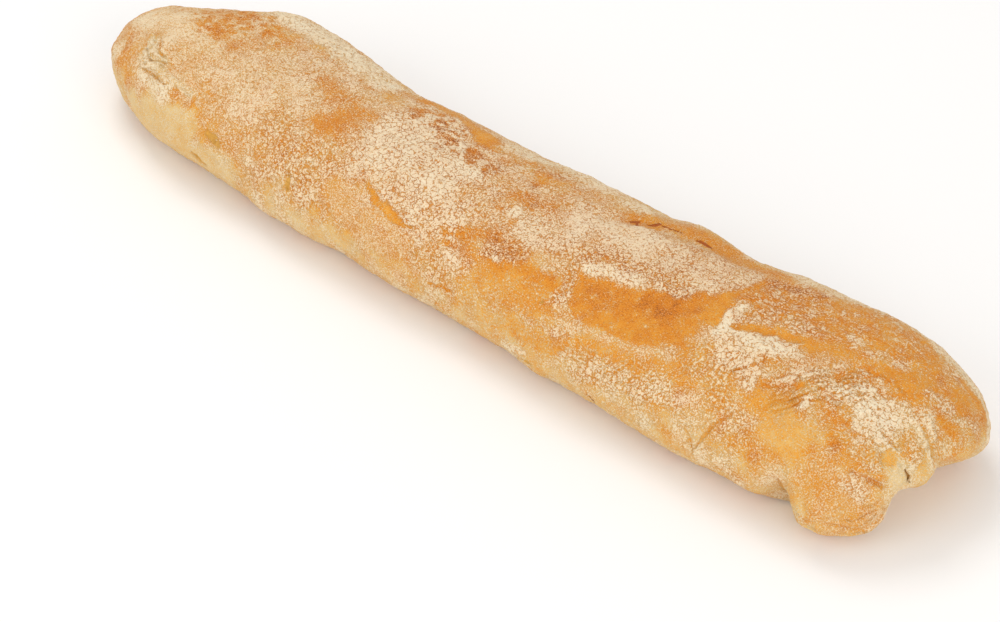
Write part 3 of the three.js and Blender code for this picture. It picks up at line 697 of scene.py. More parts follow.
@dataclass(frozen=True)
class BakedCrust:
    """Baked wheat crust, dusted with flour before the oven.

    Dough that swells in the oven tears its coat of flour into small islands. So the eye sees cream grains
    on a golden skin, as dense as the flour was thick, with a dull surface on the flour and a faint gloss on
    bare skin. Thin flour lets the gold through, and thick flour breaks along fine dark cracks. The flour in
    the gaps between grains and the brown of the cracks are partly painted shade.
    """

    # colours of the skin by how far it is baked, of tears, pits and cracks, and of flour
    skin: tuple[tuple[float, str], ...] = (
        (0.05, "F0D59E"),
        (0.3, "ECBC6A"),
        (0.52, "E79D32"),
        (0.76, "D97E17"),
        (1.0, "96501E"),
    )
    tear: str = "B65E22"
    pit: str = "E6AE50"
    # the cracks' brown is partly their own colour and partly painted shade in them
    crack: str = "B8692E"
    # flour rubbed into the gaps between grains, darkened with painted shade between them
    rubbed_flour_and_shade: str = "D2AE82"
    thin_flour: str = "ECCAA0"
    thick_flour: str = "F5E8CB"
    # sizes of the patterns
    dust_mm: float = 0.6  # real grains of flour are far finer, and these are as fine as can be seen
    island_mm: float = 1.05  # islands of flour between the finest cracks
    streak_mm: float = 1.0  # flour drawn out along the loaf
    streak_length: float = 3.2  # how many times longer a streak is than it is wide
    crazing_mm: float = 2.8  # plates between the longer cracks of a thick coat
    breaks_mm: float = 1.68  # how often such a crack breaks off
    wander_mm: float = 1.8  # how often it turns
    cloud_mm: float = 4.5  # denser and thinner flour
    mottle_mm: float = 5.0  # uneven browning
    wrinkle_mm: float = 0.48  # the skin's own fine wrinkles
    swell_mm: float = 1.9  # low bubbles under the skin
    # heights and depths of the relief
    flour_thickness_mm: float = 0.28
    crack_depth_mm: float = 0.18
    wrinkle_height_mm: float = 0.4
    swell_height_mm: float = 0.45
    # how the coat of flour follows the flour layer, the crackle layer and the streak layer
    cover: Follows = Follows(2.4, -0.7)  # how closed the coat is, by flour
    caked_from: float = 0.74  # flour above which the coat also cakes
    caked: float = 0.75  # how much that closes it
    clouds: Follows = Follows(1.4, 0.3)  # how far clouds thin or close it, by crackle
    contrast: Follows = Follows(3.5, 7.5)  # how sharply its grains stand out, by crackle
    streak_contrast: float = 6.0  # how much more so in streaks
    crazed: float = -3.6  # how far a crack opens it
    blur: Follows = Follows(-0.5, 0.62)  # how far fine dust blurs the grains, by crackle
    body: Follows = Follows(0.45, 0.5)  # how opaque it is, by flour
    heaps: Follows = Follows(3.0, -1.7)  # how far its tone goes from thin to thick, by the dust's grains
    coarseness: float = 0.7  # how far islands take the place of dust where it crackled
    dragging: float = 0.55  # how far streaks take the place of both
    # where cracks, tears and pits show
    crack_line: Range = (0.09, 0.02)  # by the distance to a plate's edge, in plates
    crack_joining: float = 0.22  # how far crackle joins cracks up
    crack_breaks: Range = (0.54, 0.64)
    crack_flour: Range = (0.3, 0.7)
    crack_shade_tint: float = 0.3  # how much of the cracks' brown shows, partly their own colour and partly painted shade
    torn: Range = (0.26, 0.42)
    sunken: Range = (0.22, 0.5)
    flour_in_hollows: float = 0.1  # the share of the coat that is left in tears and pits
    # the skin and its gloss
    mottling: float = 0.4  # how far the browning varies
    shading: Follows = Follows(1.3, 0.8)  # how much browner bare skin is than skin under flour, by crackle
    bare_roughness: float = 0.55
    flour_roughness: float = 0.95
    dull_from: float = 0.7  # the coat at which the crust is fully dull
    ior: float = 1.45
    specular: float = 0.28

    def material(self) -> bpy.types.Material:
        """Builds the material.

        Returns:
            The material, which reads the crust's own attributes.
        """
        made = bpy.data.materials.new("floured wheat crust, baked")
        made.use_nodes = True
        made.node_tree.nodes.clear()
        add = partial(add_node, made.node_tree)
        place = add("ShaderNodeTexCoord").outputs["Object"]
        layers = {name: add("ShaderNodeAttribute", attribute_name=name).outputs["Fac"] for name in LAYERS}
        noises = {
            name: add(
                "ShaderNodeTexNoise",
                {"Vector": place, "Scale": per_metre(size_mm), "Detail": detail, "Roughness": 0.6},
            )
            for name, size_mm, detail in (  # detail is how many layers of finer noise lie over it
                ("dust", self.dust_mm, 1.0),
                ("islands", self.island_mm, 2.5),
                ("cloud", self.cloud_mm, 3.0),
                ("mottle", self.mottle_mm, 4.0),
                ("breaks", self.breaks_mm, 2.0),
                ("wrinkle", self.wrinkle_mm, 2.0),
                ("swell", self.swell_mm, 2.0),
            )
        }
        given = CrustPatterns(add, place, layers, noises)
        speckle = self._speckle(given)
        crazing = self._crazing(given)
        flour = self._coat(given, speckle, crazing)
        torn, sunken = (
            add(
                "ShaderNodeMapRange",
                {"Value": layers[name], "From Min": sets_in, "From Max": full},
                interpolation_type="SMOOTHSTEP",
            )
            for name, (sets_in, full) in (("tear", self.torn), ("pit", self.sunken))
        )
        hollow = add("ShaderNodeMath", {0: torn, 1: sunken}, operation="MAXIMUM")
        skin = self._skin(given, speckle)
        inner = add("ShaderNodeMix", {0: sunken, 6: skin, 7: colour(self.pit)}, data_type="RGBA")
        opened = add("ShaderNodeMix", {0: torn, 6: inner, 7: colour(self.tear)}, data_type="RGBA")
        # cracks take on a brown that is partly painted shade
        crack_tone = add("ShaderNodeMath", {0: crazing, 1: self.crack_shade_tint}, operation="MULTIPLY")
        cracked = add("ShaderNodeMix", {0: crack_tone, 6: opened, 7: colour(self.crack)}, data_type="RGBA")
        grain = add(
            "ShaderNodeMath",
            {0: noises["dust"], 1: self.heaps.gain, 2: self.heaps.start},
            operation="MULTIPLY_ADD",
        )
        heap = add("ShaderNodeMath", {0: grain, 1: layers["flour"]}, operation="ADD")
        heaped = add(
            "ShaderNodeMix",
            {0: heap, 6: colour(self.thin_flour), 7: colour(self.thick_flour)},
            data_type="RGBA",
        )
        # the gaps between grains show rubbed-in flour darkened with painted shade
        coated = add("ShaderNodeMix", {0: flour, 6: colour(self.rubbed_flour_and_shade), 7: heaped}, data_type="RGBA")
        left = add(
            "ShaderNodeMath", {0: hollow, 1: self.flour_in_hollows - 1, 2: 1.0}, operation="MULTIPLY_ADD"
        )
        body = add(
            "ShaderNodeMath",
            {0: layers["flour"], 1: self.body.gain, 2: self.body.start},
            operation="MULTIPLY_ADD",
        )
        veil = add("ShaderNodeMath", {0: body, 1: left}, operation="MULTIPLY")
        opacity = add("ShaderNodeMath", {0: flour, 1: veil}, operation="MULTIPLY")
        base = add("ShaderNodeMix", {0: opacity, 6: cracked, 7: coated}, data_type="RGBA")
        dullness = add(
            "ShaderNodeMapRange",
            {
                "Value": flour,
                "From Max": self.dull_from,
                "To Min": self.bare_roughness,
                "To Max": self.flour_roughness,
            },
        )
        shader = add(
            "ShaderNodeBsdfPrincipled",
            {
                "Base Color": base,
                "Roughness": dullness,
                "IOR": self.ior,
                "Specular IOR Level": self.specular,
                "Normal": self._relief(given, flour, crazing, hollow),
            },
        )
        add("ShaderNodeOutputMaterial", {"Surface": shader})
        return made

    def _speckle(self, given: CrustPatterns) -> bpy.types.Node:
        """Adds the speckle of the flour, from 0 to 1 round a middle of 0.5.

        Args:
            given: the crust's patterns.

        Returns:
            Fine dust, coarser where the coat crackled and drawn out along the loaf where it was dragged.
        """
        add = given.add
        drawn_out = add(
            "ShaderNodeVectorMath",
            {0: given.place, 1: (1 / self.streak_length, 1, 1)},
            operation="MULTIPLY",
        )
        streaks = add(
            "ShaderNodeTexNoise",
            {"Vector": drawn_out, "Scale": per_metre(self.streak_mm), "Detail": 3.0, "Roughness": 0.65},
        )
        coarse = add(
            "ShaderNodeMath", {0: given.layers["crackle"], 1: self.coarseness}, operation="MULTIPLY"
        )
        grains = add("ShaderNodeMix", {0: coarse, 2: given.noises["dust"], 3: given.noises["islands"]})
        dragged = add("ShaderNodeMath", {0: given.layers["streak"], 1: self.dragging}, operation="MULTIPLY")
        return add("ShaderNodeMix", {0: dragged, 2: grains, 3: streaks})

    def _crazing(self, given: CrustPatterns) -> bpy.types.Node:
        """Adds the fine cracks between plates of a thick coat, 1 in a crack.

        Args:
            given: the crust's patterns.

        Returns:
            Short broken cracks, which join up into a net where the coat crackled.
        """
        add = given.add
        wander = add(
            "ShaderNodeTexNoise", {"Vector": given.place, "Scale": per_metre(self.wander_mm), "Detail": 2.0}
        )
        shifted = add(
            "ShaderNodeVectorMath",
            {0: wander.outputs["Color"], 1: (self.crazing_mm * MM,) * 3, 2: given.place},
            operation="MULTIPLY_ADD",
        )
        edges = add(
            "ShaderNodeTexVoronoi",
            {"Vector": shifted, "Scale": per_metre(self.crazing_mm)},
            feature="DISTANCE_TO_EDGE",
        )
        joined = add(
            "ShaderNodeMath",
            {0: given.layers["crackle"], 1: self.crack_joining, 2: given.noises["breaks"]},
            operation="MULTIPLY_ADD",
        )
        line, broken, thick = (
            add(
                "ShaderNodeMapRange",
                {"Value": source, "From Min": sets_in, "From Max": full},
                interpolation_type="SMOOTHSTEP",
            )
            for source, (sets_in, full) in (
                (edges, self.crack_line),
                (joined, self.crack_breaks),
                (given.layers["flour"], self.crack_flour),
            )
        )
        held = add("ShaderNodeMath", {0: broken, 1: thick}, operation="MULTIPLY")
        return add("ShaderNodeMath", {0: line, 1: held}, operation="MULTIPLY")

    def _coat(
        self, given: CrustPatterns, speckle: bpy.types.Node, crazing: bpy.types.Node
    ) -> bpy.types.Node:
        """Adds the coat of flour, 0 on bare skin and 1 on flour.

        Args:
            given: the crust's patterns.
            speckle: the speckle of the flour.
            crazing: the fine cracks.

        Returns:
            The coat. Its grains cover the share of the crust that the flour layer gives, and fine dust
            blurs them.
        """
        add, layers = given.add, given.layers
        level = add(
            "ShaderNodeMath",
            {0: layers["flour"], 1: self.cover.gain, 2: self.cover.start},
            operation="MULTIPLY_ADD",
        )
        caked = add(
            "ShaderNodeMapRange",
            {"Value": layers["flour"], "From Min": self.caked_from, "To Max": self.caked},
        )
        heaped = add("ShaderNodeMath", {0: level, 1: caked}, operation="ADD")
        cloud = add("ShaderNodeMath", {0: given.noises["cloud"], 1: NOISE_MIDDLE}, operation="SUBTRACT")
        clouds, plain, blur = (
            add("ShaderNodeMath", {0: layers["crackle"], 1: gain, 2: start}, operation="MULTIPLY_ADD")
            for gain, start in (self.clouds, self.contrast, self.blur)
        )
        clouded = add("ShaderNodeMath", {0: cloud, 1: clouds, 2: heaped}, operation="MULTIPLY_ADD")
        contrast = add(
            "ShaderNodeMath",
            {0: layers["streak"], 1: self.streak_contrast, 2: plain},
            operation="MULTIPLY_ADD",
        )
        centred = add("ShaderNodeMath", {0: speckle, 1: NOISE_MIDDLE}, operation="SUBTRACT")
        grained = add("ShaderNodeMath", {0: centred, 1: contrast, 2: clouded}, operation="MULTIPLY_ADD")
        split = add("ShaderNodeMath", {0: crazing, 1: self.crazed, 2: grained}, operation="MULTIPLY_ADD")
        grains = add("ShaderNodeMapRange", {"Value": split}, interpolation_type="SMOOTHSTEP")
        veil = add("ShaderNodeMath", {0: layers["flour"], 1: blur}, operation="MULTIPLY")
        return add("ShaderNodeMix", {0: veil, 2: grains, 3: layers["flour"]})

    def _skin(self, given: CrustPatterns, speckle: bpy.types.Node) -> bpy.types.Node:
        """Adds the colour of the baked skin.

        Args:
            given: the crust's patterns.
            speckle: the speckle of the flour, whose grains shaded the skin.

        Returns:
            The colour ramp from pale dough to brown, read by how far the skin is baked.
        """
        add, layers = given.add, given.layers
        lightest = add("ShaderNodeMath", {0: layers["bake"], 1: -self.mottling / 2}, operation="ADD")
        mottled = add(
            "ShaderNodeMath",
            {0: given.noises["mottle"], 1: self.mottling, 2: lightest},
            operation="MULTIPLY_ADD",
        )
        between = add("ShaderNodeMath", {0: NOISE_MIDDLE, 1: speckle}, operation="SUBTRACT")
        shade = add(
            "ShaderNodeMath",
            {0: layers["crackle"], 1: self.shading.gain, 2: self.shading.start},
            operation="MULTIPLY_ADD",
        )
        browning = add("ShaderNodeMath", {0: between, 1: shade, 2: mottled}, operation="MULTIPLY_ADD")
        skin = add("ShaderNodeValToRGB", {"Fac": browning})
        stops = skin.color_ramp.elements
        for stop, (position, code) in zip(stops, (self.skin[0], self.skin[-1])):
            stop.position, stop.color = position, colour(code)
        for position, code in self.skin[1:-1]:
            stops.new(position).color = colour(code)
        return skin

    def _relief(
        self, given: CrustPatterns, flour: bpy.types.Node, crazing: bpy.types.Node, hollow: bpy.types.Node
    ) -> bpy.types.Node:
        """Adds the relief that is too fine for the mesh.

        Args:
            given: the crust's patterns.
            flour: the coat of flour.
            crazing: the fine cracks.
            hollow: 1 in tears and pits.

        Returns:
            The bump, from heights in millimetres.
        """
        height = 0.0
        for source, height_mm in (
            (flour, self.flour_thickness_mm),
            (crazing, -self.crack_depth_mm),
            (given.noises["wrinkle"], self.wrinkle_height_mm),
            (given.noises["swell"], self.swell_height_mm),
            (hollow, -self.crack_depth_mm),
        ):
            height = given.add(
                "ShaderNodeMath", {0: source, 1: height_mm, 2: height}, operation="MULTIPLY_ADD"
            )
        return given.add("ShaderNodeBump", {"Height": height, "Distance": MM, "Strength": 1.0})


@dataclass(frozen=True)
class LooseFlour:
    """Wheat flour in small clumps, sifted on and only half baked in, which gives dull, warm white grains.

    Its single grains are far finer than a clump, whose own tone stands for them.
    """

    warm: str = "EACB9C"
    white: str = "F2E0BF"
    tone_mm: float = 2.0  # how far apart warmer and whiter clumps lie
    roughness: float = 0.95
    specular: float = 0.2

    def material(self) -> bpy.types.Material:
        """Builds the material."""
        made = bpy.data.materials.new("wheat flour, sifted")
        made.use_nodes = True
        made.node_tree.nodes.clear()
        add = partial(add_node, made.node_tree)
        place = add("ShaderNodeTexCoord").outputs["Object"]
        tone = add("ShaderNodeTexNoise", {"Vector": place, "Scale": per_metre(self.tone_mm)})
        mixed = add(
            "ShaderNodeMix", {0: tone, 6: colour(self.warm), 7: colour(self.white)}, data_type="RGBA"
        )
        shader = add(
            "ShaderNodeBsdfPrincipled",
            {"Base Color": mixed, "Roughness": self.roughness, "Specular IOR Level": self.specular},
        )
        add("ShaderNodeOutputMaterial", {"Surface": shader})
        return made


@dataclass(frozen=True)
class StudioPaper:
    """Matt white paper, laid flat, which gives an even pale ground with a soft shadow."""

    tone: str = "FAF9F8"
    roughness: float = 0.9

    def material(self) -> bpy.types.Material:
        """Builds the material."""
        made = bpy.data.materials.new("matt studio paper")
        made.use_nodes = True
        shader = made.node_tree.nodes["Principled BSDF"]
        shader.inputs["Base Color"].default_value = colour(self.tone)
        shader.inputs["Roughness"].default_value = self.roughness
        return made


# ---- The crust ----


@dataclass
class Crust:
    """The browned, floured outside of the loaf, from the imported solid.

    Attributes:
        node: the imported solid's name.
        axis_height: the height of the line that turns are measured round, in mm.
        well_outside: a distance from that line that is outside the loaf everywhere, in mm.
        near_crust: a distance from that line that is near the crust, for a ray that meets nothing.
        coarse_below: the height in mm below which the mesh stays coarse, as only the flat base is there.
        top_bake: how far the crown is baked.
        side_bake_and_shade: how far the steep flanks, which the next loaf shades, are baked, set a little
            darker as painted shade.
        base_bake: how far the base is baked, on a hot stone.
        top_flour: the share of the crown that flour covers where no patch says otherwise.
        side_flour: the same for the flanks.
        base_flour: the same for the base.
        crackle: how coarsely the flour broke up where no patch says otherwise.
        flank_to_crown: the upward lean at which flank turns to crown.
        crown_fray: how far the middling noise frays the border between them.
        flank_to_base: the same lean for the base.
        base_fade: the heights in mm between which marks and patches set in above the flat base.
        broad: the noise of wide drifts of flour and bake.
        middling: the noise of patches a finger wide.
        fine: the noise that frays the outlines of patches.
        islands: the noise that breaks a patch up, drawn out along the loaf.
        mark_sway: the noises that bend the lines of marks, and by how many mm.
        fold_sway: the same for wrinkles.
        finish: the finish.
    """

    node: str = "loaf"
    axis_height: float = 23.94
    well_outside: float = 150.0
    near_crust: float = 20.0
    coarse_below: float = 2.5
    top_bake: float = 0.52
    side_bake_and_shade: float = 0.28
    base_bake: float = 0.42
    top_flour: float = 0.55
    side_flour: float = 0.56
    base_flour: float = 0.4
    crackle: float = 0.45
    flank_to_crown: Range = (0.0, 0.55)
    crown_fray: float = 0.1
    flank_to_base: Range = (-0.5, -0.9)
    base_fade: Range = (0.3, 5)
    broad: SmoothNoise = SmoothNoise(26, 3.1)
    middling: SmoothNoise = SmoothNoise(9, 7.7)
    fine: SmoothNoise = SmoothNoise(3.5, 1.3)
    islands: SmoothNoise = SmoothNoise(2.8, 4.4)
    mark_sway: tuple[tuple[SmoothNoise, float], ...] = (
        (SmoothNoise(6, 5.5), 0.9),
        (SmoothNoise(2.2, 9.1), 0.5),
    )
    fold_sway: tuple[SmoothNoise, float] = (SmoothNoise(9, 2.7), 2.2)
    finish: BakedCrust = field(default_factory=BakedCrust)

    def build(self) -> bpy.types.Object:
        """Makes the crust.

        Returns:
            The finished crust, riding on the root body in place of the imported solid.
        """
        mesh = self._refined_copy()
        points, _ = self._points_and_normals(mesh)
        self._tree = BVHTree.FromPolygons(points.tolist(), [tuple(face.vertices) for face in mesh.polygons])
        self._split(mesh, points[:, 2] > self.coarse_below)
        points, _ = self._points_and_normals(mesh)
        self._split(mesh, self._detailed(points))
        points, normals = self._points_and_normals(mesh)
        layers, rise = self._painted(points, normals)
        carved, hollows, folded = self._carved(points)
        wrinkled, ridges = self._wrinkled(points, normals)
        flour = layers["flour"] - CREASE_FLOUR_LOSS * folded + ridges
        bake = layers["bake"] + CREASE_BROWNING * folded - RIDGE_PALENESS * ridges
        layers |= {"flour": np.clip(flour, 0, 1), "bake": np.clip(bake, 0, 1)}
        points = points + normals * ((rise + carved + wrinkled) * self._above_base(points))[:, None]
        points[:, 2] = np.maximum(points[:, 2], 0)
        mesh.vertices.foreach_set("co", (points * MM).ravel())
        for name, values in (layers | hollows).items():
            mesh.attributes.new(name, "FLOAT", "POINT").data.foreach_set("value", values)
        mesh.update()
        piece = bpy.data.objects.new("crust", mesh)
        bpy.context.scene.collection.objects.link(piece)
        CrustRoughness().apply(piece, self.finish.material())
        piece.data.shade_smooth()
        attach(piece, ROOT)
        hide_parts(self.node)
        return piece

    def _refined_copy(self) -> bpy.types.Mesh:
        """Copies the solid, merges it, pairs its triangles into quads and splits them smoothly once."""
        solid = next(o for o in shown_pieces() if o.name.startswith(self.node))
        copied = bmesh.new()
        copied.from_mesh(solid.data)
        bmesh.ops.remove_doubles(copied, verts=copied.verts, dist=0.02 * MM)
        bmesh.ops.join_triangles(
            copied,
            faces=copied.faces,
            angle_face_threshold=math.radians(60),  # the sharpest bend that a quad may span
            angle_shape_threshold=math.radians(80),  # how far its corners may be from square
            topology_influence=0.5,  # how much it looks for regular corners
        )
        mesh = bpy.data.meshes.new("crust")
        copied.to_mesh(mesh)
        copied.free()
        holder = bpy.data.objects.new("crust_refining", mesh)
        bpy.context.scene.collection.objects.link(holder)
        levels = holder.modifiers.new("refine", "SUBSURF")
        levels.levels = levels.render_levels = 1
        refined = modifier_mesh(holder, "crust")
        bpy.data.objects.remove(holder)
        return refined

    def _split(self, mesh: bpy.types.Mesh, chosen: np.ndarray) -> None:
        """Splits faces in four.

        Args:
            mesh: the mesh to change.
            chosen: for each vertex, whether the faces round it are split.
        """
        split = bmesh.new()
        split.from_mesh(mesh)
        edges = [edge for edge in split.edges if all(chosen[vertex.index] for vertex in edge.verts)]
        bmesh.ops.subdivide_edges(split, edges=edges, cuts=1, use_grid_fill=True)
        many_sided = [face for face in split.faces if len(face.verts) > 4]
        bmesh.ops.triangulate(split, faces=many_sided)
        split.to_mesh(mesh)
        split.free()

    def _detailed(self, points: np.ndarray) -> np.ndarray:
        """Tells where marks and wrinkles need a finer mesh for their steep walls.

        Args:
            points: the crust's vertices in mm.

        Returns:
            True or False for each vertex.
        """
        zones = [(mark.line, mark.reach * MARK_ZONE + ZONE_MARGIN_MM) for mark in MARKS]
        zones += [(folds.line, folds.reach * FOLD_ZONE) for folds in WRINKLINGS]
        near = np.zeros(len(points), bool)
        for line, reach in zones:
            near |= along_line(points, self._on_crust(line))[0] < reach
        return near

    def _points_and_normals(self, mesh: bpy.types.Mesh) -> tuple[np.ndarray, np.ndarray]:
        """Reads a mesh's vertices in mm and its vertex normals."""
        points = np.empty(len(mesh.vertices) * 3)
        mesh.vertices.foreach_get("co", points)
        normals = np.empty(len(mesh.vertices) * 3)
        mesh.vertices.foreach_get("normal", normals)
        return points.reshape(-1, 3) / MM, normals.reshape(-1, 3)

    def _on_crust(self, line: Line) -> np.ndarray:
        """Finds places on the crust.

        Args:
            line: x and turn pairs.

        Returns:
            One row in mm for each, where a ray from outside to the middle line of the loaf meets the crust.
        """
        found = []
        for x, turn in line:
            outward = Vector((0, -math.sin(math.radians(turn)), math.cos(math.radians(turn))))
            middle = Vector((x, 0, self.axis_height))
            hit = self._tree.ray_cast(middle + outward * self.well_outside, -outward)[0]
            if hit is None:
                hit = self._tree.find_nearest(middle + outward * self.near_crust)[0]
            found.append(hit)
        return np.array(found)

    def _above_base(self, points: np.ndarray) -> np.ndarray:
        """Returns 0 on the base, rising to 1 a few mm above it, so that the loaf still lies flat."""
        return smooth_step(*self.base_fade, points[:, 2])

    def _painted(self, points: np.ndarray, normals: np.ndarray) -> tuple[dict[str, np.ndarray], np.ndarray]:
        """Works out the flour, the bake, the crackle, the streaks and the thickness of every patch.

        Args:
            points: the crust's vertices in mm.
            normals: their normals.

        Returns:
            The layers by their names, and the rise in mm, with one value for each vertex.
        """
        broad = self.broad.at(points)
        middling = self.middling.at(points)
        fray = broad * FRAY_BROAD + middling + self.fine.at(points) * FRAY_FINE
        lean = normals[:, 2] + self.crown_fray * middling[:, 0]
        upward = smooth_step(*self.flank_to_crown, lean)
        downward = smooth_step(*self.flank_to_base, normals[:, 2])

        def ground(side: float, top: float, base: float) -> np.ndarray:
            """Returns a layer that differs between the flanks, the crown and the base."""
            level = side + (top - side) * upward
            return level + (base - level) * downward

        layers = {
            "flour": ground(self.side_flour, self.top_flour, self.base_flour),
            # the flanks are baked a little darker than they are, as painted shade
            "bake": ground(self.side_bake_and_shade, self.top_bake, self.base_bake),
            "crackle": np.full(len(points), self.crackle),
            "streak": np.zeros(len(points)),
        }
        for name, own in UNEVENNESS.items():
            layers[name] += own.broad * broad[:, own.value]
            layers[name] += own.under * middling[:, own.value]
        rise = np.zeros(len(points))
        islands = self.islands.at(points * ISLAND_STRETCH)[:, 0]
        for patch in PATCHES:
            line = self._on_crust(patch.line)
            margin = patch.reach * OUTER_REACH + OUTER_MARGIN_MM
            inside = (points > line.min(axis=0) - margin) & (points < line.max(axis=0) + margin)
            near = np.all(inside, axis=1)
            frayed = points[near] + fray[near] * min(patch.reach, FRAYED_REACH_MM) * FRAYED_SHARE
            distance, length, _ = along_line(frayed, line)
            distance = distance / (patch.reach * taper(length, line, patch.lost))
            share = smooth_step(1 + patch.edge / 2, 1 - patch.edge / 2, distance)
            if patch.broken:
                gap = patch.broken - 0.5
                share *= smooth_step(gap - ISLAND_EDGE, gap + ISLAND_EDGE, islands[near])
            for name, layer in layers.items():
                wanted = getattr(patch, name)
                if wanted is not None:
                    layer[near] += (wanted - layer[near]) * share
            rise[near] += patch.rise * share
        for name, own in UNEVENNESS.items():
            layers[name] += own.over * middling[:, own.value]
        return layers, rise

    def _carved(self, points: np.ndarray) -> tuple[np.ndarray, dict[str, np.ndarray], np.ndarray]:
        """Works out how deep every mark is cut.

        Args:
            points: the crust's vertices in mm.

        Returns:
            The rise in mm, the tears and pits by their names, and the creases. A tear or pit is 1 in its
            middle, a third at its rim and 0 well outside, and a crease is 1 at its bottom, with one value
            for each vertex.
        """
        rise = np.zeros(len(points))
        folded = np.zeros(len(points))
        hollows = {name: np.zeros(len(points)) for name in HOLLOWS.values()}
        moved = points
        for sway, sway_mm in self.mark_sway:
            moved = moved + sway.at(points) * sway_mm
        for mark in MARKS:
            line = self._on_crust(mark.line)
            profile = mark.carving.value
            distance, length, _ = along_line(moved, line)
            share = distance / (mark.reach * taper(length, line, profile.narrowing))
            body = smooth_step(profile.rim, profile.bottom, share)
            lip = np.exp(-(((share - LIP_AT) / LIP_WIDTH) ** 2))
            rise += mark.depth * (profile.up * body + profile.lip * lip)
            if mark.carving is Carving.CREASE:
                folded = np.maximum(folded, body)
            elif mark.carving in HOLLOWS:
                name = HOLLOWS[mark.carving]
                hollows[name] = np.maximum(hollows[name], np.clip(1 - share / LIP_AT, 0, 1))
        return rise, hollows, folded

    def _wrinkled(self, points: np.ndarray, normals: np.ndarray) -> tuple[np.ndarray, np.ndarray]:
        """Works out the small folds of every wrinkling.

        Args:
            points: the crust's vertices in mm.
            normals: their normals.

        Returns:
            The rise in mm, and the flour that the ridges gained or the valleys lost, for each vertex.
        """
        rise = np.zeros(len(points))
        ridges = np.zeros(len(points))
        sway, sway_mm = self.fold_sway
        moved = points + sway.at(points) * sway_mm
        for number, folds in enumerate(WRINKLINGS, start=1):
            line = self._on_crust(folds.line)
            distance, length, away = along_line(moved, line)
            side = np.sign((away * np.cross(line[-1] - line[0], normals)).sum(axis=1))
            across = distance * side / folds.spacing
            along = length / (folds.spacing * FOLD_LENGTH)
            pattern = SmoothNoise(1.0, FOLD_SHIFT * number).at(np.column_stack((across, along, across * 0)))
            ridge = 1 - np.exp(-((pattern[:, 0] / VALLEY_WIDTH) ** 2))
            whole = np.linalg.norm(np.diff(line, axis=0), axis=1).sum()
            from_end = np.minimum(length, whole - length)
            fade = smooth_step(*FOLD_FADE, distance / folds.reach)
            fade *= smooth_step(0, folds.reach * FOLD_END, from_end)
            rise += folds.height * (ridge - RIDGE_MEAN) * fade
            ridges += folds.flour * (ridge - RIDGE_MEAN) * fade
        return rise, ridges


